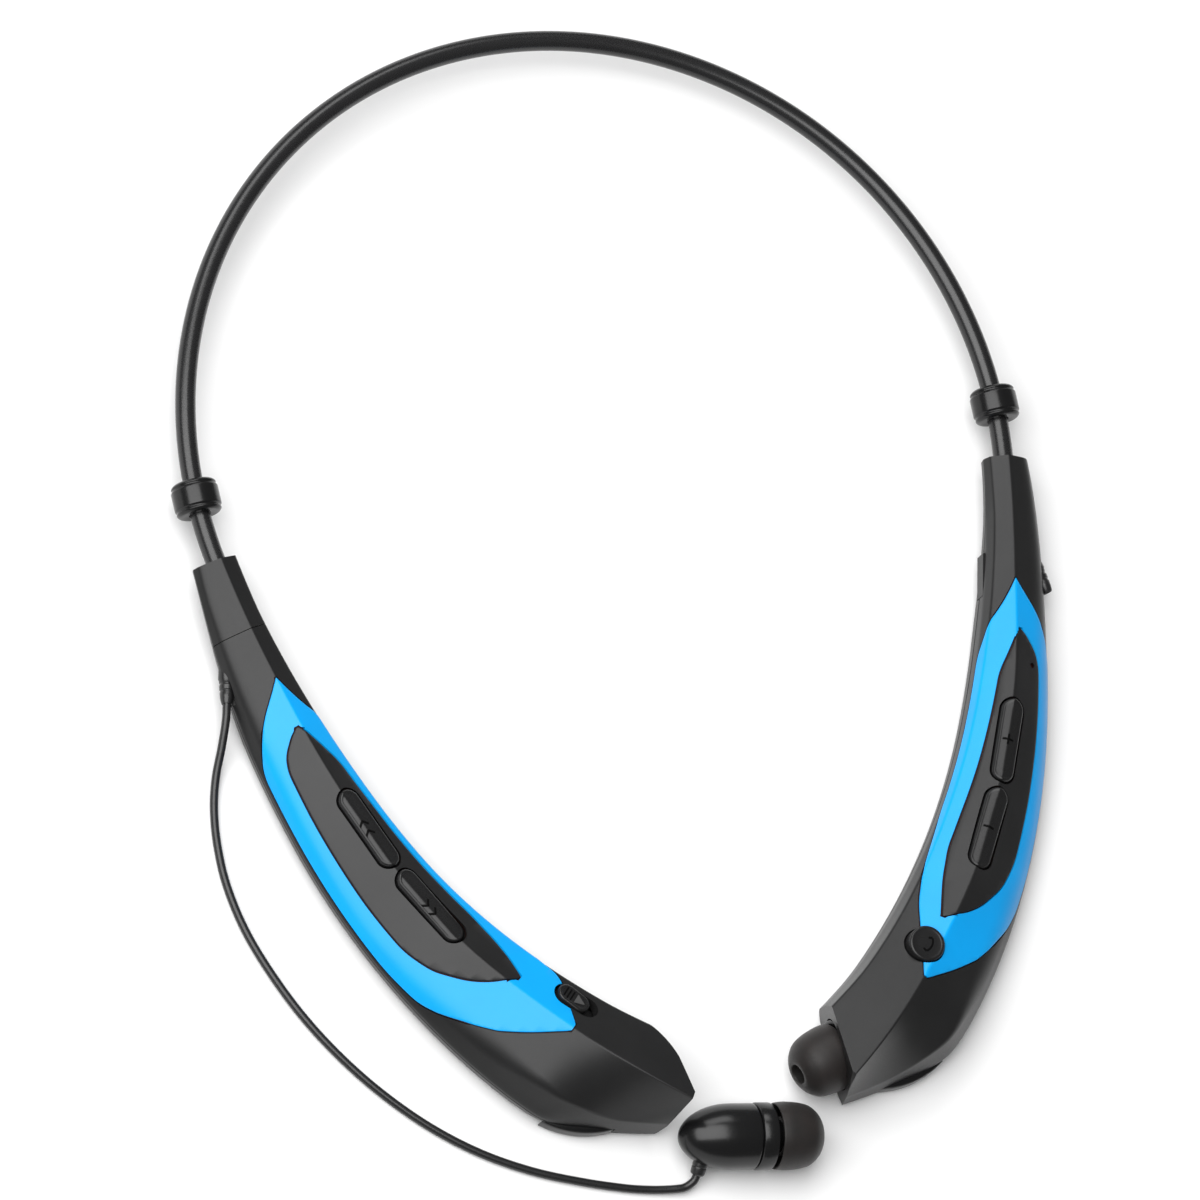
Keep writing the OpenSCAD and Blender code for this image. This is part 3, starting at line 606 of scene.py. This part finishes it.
# ---- The shells. Names in _S are places along the arm, names in _W outwards from its ridge ----
STEP = 0.6
END_X = {1: 14.4, -1: 13.9}
END_FILLET = {1: 4.0, -1: 15.0}
SEAM_W, SEAM_H = 0.16, 0.18
BASE_T = 1.4
BUTTON_S = (51.2, 67.4)
BUTTON_SHIFT = {1: 0.8, -1: -0.1}
BUTTON_LEN, BUTTON_W, BUTTON_GAP, BUTTON_PROUD = 15, 4, 0.25, 0.45
FLANGE_LOW, FLANGE_T, FLANGE_OUT = 3.6, 0.9, 0.7
CHAMBER_LONGER, CHAMBER_WIDER, CHAMBER_DEPTH = 2.8, 2.6, 2.15
MAGNET_HOLE = ((-3.6, 0), (-3.6, 3.05), (-1.25, 3.05))
CUP_ROOM, MOUTH_ROOM = 0.5, 0.15
CALL_S, CALL_W, CALL_D, CALL_TOP, CALL_LOW = 92.6, -2.2, 6.2, 14.1, 9.1
SWITCH = (96.2, -5.2, 12.2)
SWITCH_TRAVEL = 1.4
SWITCH_TILT = station(*SWITCH) @ Matrix.Rotation(radians(-22), 4, "Y")
MIC_S, MIC_W = 36.6, 4
SCREWS = ((38, -0.4), (92, 8.9))
GLAND = station(17, outer_w(17) - 1.4, 4.9) @ Matrix.Rotation(radians(-62), 4, "Z")
PAD_LEN, PAD_BULGE = 18.4, 2
PAD_R = (PAD_LEN ** 2 / 4 + PAD_BULGE ** 2) / (2 * PAD_BULGE)
PAD_SHORTER, PAD_BACK = 0.87, 1.2
PAD = Matrix.Translation((29.4, BAND_CY - 112.4, 0)) @ Matrix.Rotation(radians(8), 4, "Z")
USB = station(20.5, -inner_w(20.5), 4.6)
BOOT_LEN = 12.8
TRIM_PROUD, BEZEL_PROUD, PANEL_T = 0.1, 0.16, 0.35
SEAT_TOP, SEAT_DEPTH = -0.36, 0.62


def steps(a, b, step=STEP):
    """Values from a to b, evenly spaced."""
    n = max(1, round((b - a) / step))
    return [mix(a, b, i / n) for i in range(n + 1)]


def top_loft(name, a, b):
    """The arm's upper half between a and b, with a fine groove where it meets the lower half."""
    rings = []
    for s in steps(a, b):
        ring = [surface(s, v) for v in columns(s)]
        w_out, w_in, low = top_corners(s)[0][0], top_corners(s)[6][0], split_z(s)
        ring[0], ring[-1] = at(s, w_out - SEAM_W, low), at(s, w_in + SEAM_W, low)
        rings.append(ring)
    return loft(name, rings)


def base_loft(name, a, b, raised=0.0):
    """The arm's lower half between a and b."""
    rings = []
    for s in steps(a, b):
        iw, ow, high, low = inner_w(s), outer_w(s), split_z(s) + raised, base_z(s)
        line = [(-iw + SEAM_W, high), (-iw, high - SEAM_H), (-iw + 0.3, low + 1.2),
                (-iw + 1.5, low), (max(0.1, ow - 2.2), low), (max(0.2, ow - 0.6), low + 1.2),
                (max(0.3, ow), high - SEAM_H), (max(0.3, ow) - SEAM_W, high)]
        rings.append([at(s, w, z) for w, z in rounded(line, (0, 0.05, 0.5, 0.7, 0.9, 0.7, 0.05, 0))])
    return loft(name, rings)


def cavity(name, a, b):
    """The hollow of the upper and lower shells."""
    rings = []
    for s in steps(a, b, 4):
        top = top_corners(s, SIDE_WALL, TRIM_T + 1)
        iw, ow, low = inner_w(s) - SIDE_WALL, outer_w(s) - SIDE_WALL, base_z(s) + BASE_T
        under = [(-iw + 0.3, low + 1.2), (-iw + 1.5, low), (max(0.1, ow - 2.2), low),
                 (max(0.2, ow - 0.6), low + 1.2)]
        rings.append([at(s, w, z) for w, z in (*top, *under)])
    return loft(name, rings)


def panel(name, outer, inner, top, bottom, rim=0.0, grow=0.0):
    """A thin panel on the arm's surface between two outlines, from bottom below the surface to top
    above it, with a softened rim. Grow widens it on all sides."""
    rings = []
    for s in steps(outer[0][0] - grow, outer[-1][0] + grow, 0.5):
        hi, lo = smooth_lookup(s, outer), smooth_lookup(s, inner)
        scale = [hypot(q[0] - p[0], q[1] - p[1]) for p, q in zip(top_corners(s), top_corners(s)[1:])]
        a = 3 - hi - grow / scale[min(5, int(3 - hi))]
        b = 3 - lo + grow / scale[min(5, int(3 - lo))]
        a, b = min(a, (a + b) / 2 - 0.004), max(b, (a + b) / 2 + 0.004)
        rim_a, rim_b = rim / scale[min(5, int(a))], rim / scale[min(5, int(b))]
        middle = (a + b) / 2
        start, end = min(a + rim_a, middle), max(b - rim_b, middle)
        vs = [min(end, max(start, v)) for v in columns(s)]
        over = [surface(s, v, top) for v in vs]
        if rim:
            softer = ((0.0, 1.0), (0.13, 0.5), (0.5, 0.13))
            over = ([surface(s, a + (start - a) * x, top - rim * y) for x, y in softer] + over
                    + [surface(s, b - (b - end) * x, top - rim * y) for x, y in reversed(softer)])
            vs = [a] * 3 + vs + [b] * 3
        rings.append(over + [surface(s, v, -bottom) for v in reversed(vs)])
    return loft(name, rings)


def band_bore(r):
    """The hole that the band goes into."""
    return loft("bore", [band_ring(-radians(mix(20, 7, i / 24)), r, 0, 32) for i in range(25)])


def pocket():
    """The dock's mouth, with the space for the earbud's cup and magnet behind it."""
    mouth = TIP_R + MOUTH_ROOM
    cup = [(x, nose_r(x) + CUP_ROOM) for x in (0.7, 2.4, 5)]
    return lathe("pocket", [*MAGNET_HOLE, *cup, (8.9, mouth), (29, mouth), (29, 0)], DOCKED)


def pad_outline(grow):
    """The lens shape of the dock's pad."""
    half, back = PAD_LEN / 2 + grow, 0.15 + grow
    centre, r = PAD_R - PAD_BULGE, PAD_R + grow
    xs = [mix(-half, half, i / 40) for i in range(41)]
    arc = [(x, centre - sqrt(max(0, r * r - x * x))) for x in xs]
    return [(PAD_SHORTER * x - PAD_BACK, y) for x, y in arc + [(half, back), (-half, back)]]


def gland_bore():
    return lathe("gland_bore", [(-6, 0), (-6, 1.53), (6, 1.53), (6, 0)], GLAND, 32)


def end_cut(side):
    """Everything beyond the arm's flat, slanted end."""
    place = Matrix.Translation((END_X[side], BAND_CY - 60, 0)) @ Matrix.Rotation(pi / 2, 4, "X")
    return prism("end_cut", [(-40, -1), (3.2, -1), (-3, 30), (-40, 30)], 0, 80, place)


def tip_fillet(side):
    """Rounds the upright edge between the tip's inner wall and its flat end."""
    r = END_FILLET[side]
    wall, corner = at(106, -inner_w(106), 0), at(112.3, -inner_w(112.3), 0)
    corner.x = END_X[side]
    along = (corner - wall).normalized()
    turn = acos(max(-1, min(1, -along.y)))
    start = corner - along * r * tan(turn / 2)
    centre = start + Vector((-along.y, along.x, 0)) * r
    first = (start - centre).to_2d()
    arc = []
    for i in range(17):
        a = turn * i / 16
        arc.append((centre.x + first.x * cos(a) - first.y * sin(a),
                    centre.y + first.x * sin(a) + first.y * cos(a)))
    before = start - along * 0.02
    left, back = arc[-1][0] - 8, before.y + 6
    return prism("fillet", [*arc, (left, arc[-1][1]), (left, back), (before.x + 0.5, back)], -1, 30)


def chamber(s, side):
    """The space for a track button's flange."""
    outline = stadium(BUTTON_LEN + CHAMBER_LONGER, BUTTON_W + CHAMBER_WIDER)
    return prism("chamber", outline, 2, ridge_z(s) - CHAMBER_DEPTH, station(s, BUTTON_SHIFT[side], 0))


def switch_tool(length, width, z_lo, z_hi):
    return prism("switch_slot", stadium(length, width), z_lo, z_hi, SWITCH_TILT)


def call_tool(r, z_lo=4, z_hi=18):
    return prism("call_hole", circle(r), z_lo, z_hi, station(CALL_S, CALL_W, 0))


def end_control_tool(side):
    """Clears the call button on the right and the power switch on the left."""
    if side > 0:
        return call_tool(CALL_D / 2 + BUTTON_GAP)
    return switch_tool(7 + SWITCH_TRAVEL, 4.8, -6, 6)


def openings(side, start):
    """Tools that both shells of a side are cut with."""
    tools = [pocket(), end_cut(side), tip_fillet(side),
             prism("pad_slot", pad_outline(0.06), 0.4, 3.05, PAD), gland_bore(),
             band_bore(1.4 if side < 0 else BAND_D / 2 + 0.06),
             cavity("hollow", 11 if side > 0 else start + 2.6, 103)]
    if side > 0:
        tools.append(prism("usb_hole", boxed(6, 7.8), -1.5, 1.5, USB))
    return tools


def button_openings(side, grow):
    """Tools as wide as the track buttons, and grow more on all sides."""
    return [prism("slot", stadium(BUTTON_LEN + 2 * grow, BUTTON_W + 2 * grow), 4, 16,
                  station(s, BUTTON_SHIFT[side], 0)) for s in BUTTON_S]


def shells(side):
    """The upper and lower shell of an arm."""
    name = SIDE_NAME[side]
    start = 0 if side > 0 else BOOT_LEN
    top = top_loft(name + "_top_housing", start, ARM_LEN)
    tools = openings(side, start)
    tools.append(panel("recess", TRIM_OUTER, TRIM_INNER[side], 0.8, SEAT_DEPTH + 0.3, grow=0.22))
    tools += button_openings(side, BUTTON_GAP + 0.1) + [chamber(s, side) for s in BUTTON_S]
    if side > 0:
        tools += [call_tool(CALL_D / 2 + BUTTON_GAP), call_tool(CALL_D / 2 + 1.1, 4, 10.4),
                  prism("mic_bore", circle(1, 24), 2, 14, station(MIC_S, MIC_W, 0))]
    else:
        tools += [switch_tool(6.4 + SWITCH_TRAVEL, 4.1, -4.2, 3.8),
                  prism("switch_box", boxed(4.4, 8.6), -8.6, -1.4, SWITCH_TILT)]
    cut(top, *tools)
    finish_piece(top, name + "_arm", SHELL, (name + "_top_shell",), side)

    base = base_loft(name + "_base_housing", start, ARM_LEN)
    tools = openings(side, start)
    for s, w in SCREWS:
        tools.append(prism("screw_head", circle(1.5, 32), -1, 1.1, station(s, w, 0)))
    cut(base, *tools)
    finish_piece(base, name + "_arm", SHELL, (name + "_bottom_shell",), side)


def trims(side):
    """The blue trim, the gasket under it and the dark bezel in it."""
    name = SIDE_NAME[side]
    seat = panel(name + "_trim_gasket", TRIM_OUTER, TRIM_INNER[side], SEAT_TOP, SEAT_DEPTH,
                 grow=0.18)
    cut(seat, end_control_tool(side), *button_openings(side, BUTTON_GAP + 0.1))
    finish_piece(seat, name + "_arm", GAP, side=side)
    blue = panel(name + "_trim_panel", TRIM_OUTER, TRIM_INNER[side], TRIM_PROUD, PANEL_T,
                 rim=0.22)
    cut(blue, panel("bezel_hole", BEZEL_OUTER, BEZEL_INNER[side], 1, 2, grow=0.3),
        end_control_tool(side))
    finish_piece(blue, name + "_arm", BLUE, (name + "_trim",), side)
    dark = panel(name + "_bezel_panel", BEZEL_OUTER, BEZEL_INNER[side], BEZEL_PROUD, PANEL_T,
                 rim=0.2)
    tools = button_openings(side, BUTTON_GAP + 0.08)
    if side > 0:
        tools.append(prism("mic_hole", circle(0.45, 24), 2, 14, station(MIC_S, MIC_W, 0)))
    cut(dark, *tools)
    finish_piece(dark, name + "_arm", BEZEL, (name + "_bezel",), side)


def boot():
    """The cap between the left arm and the band."""
    piece = top_loft("left_boot_top", 0, BOOT_LEN - 0.12)
    lower = base_loft("lower", 0, BOOT_LEN - 0.12, 0.05)
    boolean(piece, "UNION", [lower])
    cut(piece, band_bore(BAND_D / 2 + 0.02))
    finish_piece(piece, "left_arm", SHELL, ("left_boot",), -1)


shells(1)
shells(-1)
trims(1)
trims(-1)
boot()

# ---- Buttons ----
ROOF_SLOPE, ROOF_DROP = 0.47, 0.12
MARK_W = 0.42


def roof(s, side, x):
    """Height of a track button's roof, x out from its middle."""
    off = x + BUTTON_SHIFT[side] - ridge_w(s)
    return ridge_top(s) + BUTTON_PROUD - ROOF_SLOPE * (sqrt(off * off + 0.02) - 0.14)


def track_button(name, s, side, symbol, node):
    """A pill that straddles the ridge, with rounded edges, a flange below and a symbol on its roof."""
    place = station(s, BUTTON_SHIFT[side], 0)
    low = ridge_z(s) - FLANGE_LOW

    def ring(inset, drop=None, z=None, grow=0.0):
        line = stadium(BUTTON_LEN + 2 * grow - 2 * inset, BUTTON_W + 2 * grow - 2 * inset, 28)
        return [place @ Vector((x, y, roof(s, side, x) - drop if z is None else z)) for x, y in line]

    rings = [ring(0, z=low, grow=FLANGE_OUT), ring(0, z=low + FLANGE_T, grow=FLANGE_OUT),
             ring(0, z=low + FLANGE_T)]
    edge = ((0, 0.6), (0.03, 0.34), (0.14, 0.15), (0.3, 0.05), (0.45, 0.04), (0.55, 0.1))
    rings += [ring(inset, drop) for inset, drop in edge]
    rings += [ring(inset, ROOF_DROP) for inset in (0.7, 0.9, 1.2, 1.5, 1.8, 1.97)]
    piece = loft(name, rings)
    stem = prism("stem", circle(1, 24), low - 0.4, low + 0.1, place)
    boolean(piece, "UNION", [stem])
    finish_piece(piece, node, BUTTON, (node,), side, sharp=50)
    ridge_x = ridge_w(s) - BUTTON_SHIFT[side]
    lines = [[(x + ridge_x, y) for x, y in line] for line in symbol]
    mark = strokes(name + "_mark", lines, lambda x, y: roof(s, side, x) - ROOF_DROP, place, MARK_W)
    finish_piece(mark, node, SYMBOL, (), side)


def strokes(name, lines, height, place, width, proud=0.05, deep=0.15):
    """Raised lines of a width on the surface height(x, y), one closed ribbon for each line of points."""
    points, faces = [], []
    for line in lines:
        fine = []
        for a, b in zip(line, line[1:]):
            a, b = Vector(a), Vector(b)
            n = max(2, int((b - a).length / 0.15))
            fine += [a.lerp(b, i / n) for i in range(n)]
        fine.append(Vector(line[-1]))
        first = len(points)
        for i, p in enumerate(fine):
            t = (fine[min(len(fine) - 1, i + 1)] - fine[max(0, i - 1)]).normalized()
            n = Vector((-t.y, t.x)) * width / 2
            for q, lift in ((p + n, -deep), (p + n * 0.9, proud * 0.6), (p + n * 0.6, proud),
                            (p - n * 0.6, proud), (p - n * 0.9, proud * 0.6), (p - n, -deep)):
                points.append(place @ Vector((q.x, q.y, height(q.x, q.y) + lift)))
        last = first + (len(fine) - 1) * 6
        faces += [(row + i, row + (i + 1) % 6, row + 6 + (i + 1) % 6, row + 6 + i)
                  for row in range(first, last, 6) for i in range(6)]
        faces += [tuple(range(first, first + 6)), tuple(range(last, last + 6))]
    return raw_mesh(name, points, faces)


def chevrons(way):
    """Two arrow heads along the ridge; way 1 points at the band."""
    return [[(-0.95, y), (0, y + way * 0.85), (0.95, y)] for y in (-1.1 * way, 0.7 * way)]


DASH = [[(-0.95, 0), (0.95, 0)]]
CROSS = DASH + [[(0, -0.95), (0, 0.95)]]
track_button("previous_cap", BUTTON_S[0], -1, chevrons(1), "previous_button")
track_button("next_cap", BUTTON_S[1], -1, chevrons(-1), "next_button")
track_button("volume_up_cap", BUTTON_S[0], 1, CROSS, "volume_up_button")
track_button("volume_down_cap", BUTTON_S[1], 1, DASH, "volume_down_button")

CALL_PLACE = station(CALL_S, CALL_W, 0)
UPRIGHT = Matrix.Rotation(-pi / 2, 4, "Y")


def call_button():
    """A round cap with a rim, a flange below and a handset on it."""
    r, low, top = CALL_D / 2, CALL_LOW, CALL_TOP
    line = [(low - 0.3, 0), (low - 0.3, 1), (low, 1), (low, r + 0.8), (low + 0.8, r + 0.8),
            (low + 0.8, r), (top - 0.45, r), (top - 0.2, r - 0.08), (top - 0.06, r - 0.22),
            (top, r - 0.45), (top - 0.06, r - 0.62), (top - 0.1, r - 0.8), (top - 0.06, 1.4),
            (top - 0.05, 0)]
    piece = lathe("call_cap", line, CALL_PLACE @ UPRIGHT, 96)
    finish_piece(piece, "call_button", BUTTON, ("call_button",), sharp=50)
    arc = [(1.9 * cos(radians(a)) - 0.75, 1.9 * sin(radians(a)) + 0.75)
           for a in range(-88, -1, 8)]
    handset = [arc, [(arc[0][0] - 0.1, arc[0][1] - 0.05), (arc[0][0] - 0.3, arc[0][1] + 0.62)],
               [(arc[-1][0] + 0.05, arc[-1][1] + 0.1), (arc[-1][0] - 0.62, arc[-1][1] + 0.3)]]
    turned = CALL_PLACE @ Matrix.Rotation(radians(50), 4, "Z")
    mark = strokes("call_mark", handset, lambda x, y: CALL_TOP - 0.09, turned, MARK_W)
    finish_piece(mark, "call_button", SYMBOL)


def power_switch():
    """A sliding knob at the band's end of its slot, with three bars and an arrow on it."""
    place = SWITCH_TILT @ Matrix.Translation((0, SWITCH_TRAVEL / 2, 0))
    rings = []
    for inset, z in ((0, -1.2), (0, 0.0), (0.06, 0.16), (0.2, 0.26), (0.4, 0.29), (0.55, 0.25),
                     (0.8, 0.2), (1.2, 0.2), (1.75, 0.2)):
        rings.append([place @ Vector((x, y, z))
                      for x, y in stadium(6 - 2 * inset, 3.6 - 2 * inset, 28)])
    knob = loft("power_knob", rings)
    peg = prism("peg", boxed(1.4, 1.4), -3.2, -1.1, place)
    boolean(knob, "UNION", [peg])
    finish_piece(knob, "power_switch_knob", BUTTON, ("power_switch_knob",), -1,
                 sharp=50)
    bars = [[(-1.1, y), (1.1, y)] for y in (1.7, 1.05, 0.4)]
    mark = strokes("power_bars", bars, lambda x, y: 0.2, place, 0.3, proud=0.08)
    finish_piece(mark, "power_switch_knob", SYMBOL, (), -1)
    head = rounded([(-1.05, -0.3), (1.05, -0.3), (0, -2.1)], 0.15, 4, closed=True)
    arrow = prism("power_arrow", head, 0.05, 0.32, place)
    finish_piece(arrow, "power_switch_knob", PALE_MARK, (), -1)


call_button()
power_switch()


# ---- Earbuds ----
def earbud(side, place):
    """The housing, the front ring with its nozzle and the silicone tip, turned around the bud's axis."""
    body = SIDE_NAME[side] + "_bud"
    nose = [(x, nose_r(x)) for x in (0, 0.04, 0.12, 0.25, 0.45, 0.7, 1, 1.4, 1.9, 2.5, 3.2, 4, 5, 6,
                                     7.2, 8.2, 9)]
    end = HOUSING_LEN - 0.1
    inner = [(x, nose_r(x) - 1) for x in (9, 6.8, 5, 3.6, 2.6)]
    line = nose + [(end - 0.55, BUD_R), (end - 0.3, BUD_R - 0.04), (end - 0.1, BUD_R - 0.14),
                   (end, BUD_R - 0.3), (end, BUD_R - 1)] + inner + [(2, 0)]
    housing = lathe(body + "_shell", line, place, 96)
    if side < 0:
        bore = lathe("relief_bore", [(0, 0), (0, 1.3), (8, 1.3), (8, 0)], RELIEF, 40)
        cut(housing, bore)
    finish_piece(housing, body, GLOSS, (body + "_housing",))

    a, b, r = HOUSING_LEN, HOUSING_LEN + FRONT_LEN, BUD_R + 0.1
    line = [(a, 4.6), (a, r - 0.3), (a + 0.1, r - 0.12), (a + 0.3, r), (b - 0.45, r),
            (b - 0.2, r - 0.06), (b - 0.05, r - 0.22), (b, r - 0.45), (b, 2.6), (b + 3, 2.6),
            (b + 3.2, 2.9), (b + 4.1, 2.9), (b + 4.9, 2.4), (b + 4.9, 1.8), (a + 1.2, 1.8),
            (a + 1.2, 4.6)]
    front = lathe(body + "_collar", line, place, 96)
    finish_piece(front, body, GLOSS, (body + "_front",))

    a = b + 0.7
    name, end = SIDE_NAME[side], BUD_LEN
    line = [(a, 5.2), (a, TIP_R - 0.2), (a + 1.4, TIP_R), (a + 4, TIP_R - 0.15), (a + 6, 5.05),
            (a + 7.3, 3.9), (end - 0.2, 2.9), (end, 2.4), (end, 1.7), (end - 2.9, 1.7),
            (end - 2.9, 2.45), (a + 3.9, 2.96), (a + 2.4, 2.96), (a + 2.1, 2.65), (a + 1, 2.65),
            (a + 1, 3.2), (a + 4.6, 3.6), (a + 5, 4.2), (a + 3.6, 4.9)]
    radii = (0.2, 0.3, 0.9, 1.2, 1.1, 0.9, 0.25, 0.25, 0.25, 0, 0, 0, 0, 0, 0, 0, 0.3, 0.3, 0.8)
    tip = lathe(name + "_silicone_tip", rounded(line, radii, 6, closed=True), place, 96)
    finish_piece(tip, body, SILICONE, (name + "_ear_tip",), sharp=40)


earbud(-1, LOOSE)
earbud(1, DOCKED)


def relief():
    """The short sleeve where the cord enters the loose earbud."""
    line = [(3.3, 0.71), (3.3, 1.29), (5.0, 1.29), (5.08, 1.2), (5.2, 1.2), (5.28, 1.27),
            (6.35, 1.2), (6.6, 1.0), (6.6, 0.71)]
    piece = lathe("left_bud_sleeve", rounded(line, 0.08, 3, closed=True), RELIEF, 40)
    finish_piece(piece, "left_bud", CORD, ("left_bud_strain_relief",), sharp=40)


relief()


def pad(side):
    """The dark lens-shaped foot of the dock, domed outwards."""
    name = SIDE_NAME[side]
    rings = []
    for inset, z in ((0.5, 0.45), (0.2, 0.52), (0.05, 0.7), (0, 1.0), (0, 2.2), (0.08, 2.6),
                     (0.3, 2.88), (0.7, 3.0)):
        rings.append([PAD @ Vector((x * (1 - inset / PAD_LEN), y + inset * (0.3 if y < 0 else 0), z))
                      for x, y in pad_outline(0)])
    piece = loft(name + "_dock_lens", rings)
    finish_piece(piece, name + "_arm", GLOSS, (name + "_dock_pad",), side, sharp=40)


pad(1)
pad(-1)


def gland(side):
    """The ribbed sleeve where a cord leaves the arm."""
    name = SIDE_NAME[side]
    line = [(-2, CORD_D / 2), (-2, 1.5), (1.6, 1.5), (1.8, 1.38), (2.2, 1.34), (2.3, 1.22),
            (2.6, 1.22), (2.7, 1.32), (3.4, 1.26), (3.5, 1.14), (3.8, 1.14), (3.9, 1.22),
            (4.8, 1.12), (5.4, 1.0), (5.8, 0.85), (5.8, CORD_D / 2)]
    piece = lathe(name + "_gland_sleeve", line, GLAND, 40)
    finish_piece(piece, name + "_arm", CORD, (name + "_cord_gland",), side, sharp=45)


gland(1)
gland(-1)

# ---- Materials of the CAD nodes that stay ----
KEPT = {
    STEEL: ("left_screws", "right_screws", "left_dock_magnet", "right_dock_magnet", "left_bud_driver",
            "right_bud_driver", "left_bud_mesh", "right_bud_mesh", "vibration_motor",
            "usb_receptacle"),
    FOIL: ("battery", "bluetooth_module"),
    BUTTON: ("power_switch_body",),
    COPPER: ("microphone",),
    PCB: ("left_button_board", "main_board", "call_button_board"),
    GLOSS: ("left_dock_cup", "right_dock_cup"),
    SHELL: ("usb_cover",),
    SWITCHES: ("left_tact_switches", "right_tact_switches"),
}
for finish, names in KEPT.items():
    for node in names:
        mesh = NODES[node].data
        if not mesh.materials:
            mesh.materials.append(finish)
        for i in range(len(mesh.materials)):
            mesh.materials[i] = finish

# ---- Floor and light ----
FLOOR_HALF = 1500
floor = raw_mesh("floor", [(x * FLOOR_HALF, y * FLOOR_HALF, 0)
                           for x, y in ((-1, -1), (1, -1), (1, 1), (-1, 1))], [(0, 1, 2, 3)])
floor.data.transform(Matrix.Scale(MM, 4))
floor.data.materials.append(PAPER)


def area_light(name, toward, distance, size, power):
    """A soft box in the direction toward, turned to the object."""
    data = bpy.data.lights.new(name, "AREA")
    data.shape, data.size, data.size_y, data.energy = "RECTANGLE", size[0], size[1], power
    light = bpy.data.objects.new(name, data)
    toward = Vector(toward).normalized()
    light.location = toward * distance
    light.rotation_euler = toward.to_track_quat("Z", "Y").to_euler()
    bpy.context.scene.collection.objects.link(light)


area_light("key_left", (-0.47, 0.06, 0.86), 1.3, (1.3, 1.5), 28)
area_light("fill_back", (-0.05, 0.72, 0.69), 1.5, (1.0, 0.6), 7)
world = bpy.data.worlds.new("studio")
world.use_nodes = True
background = world.node_tree.nodes["Background"]
background.inputs["Color"].default_value = (1, 1, 1, 1)
background.inputs["Strength"].default_value = 0.18
bpy.context.scene.world = world
bpy.context.scene.view_settings.view_transform = "Standard"
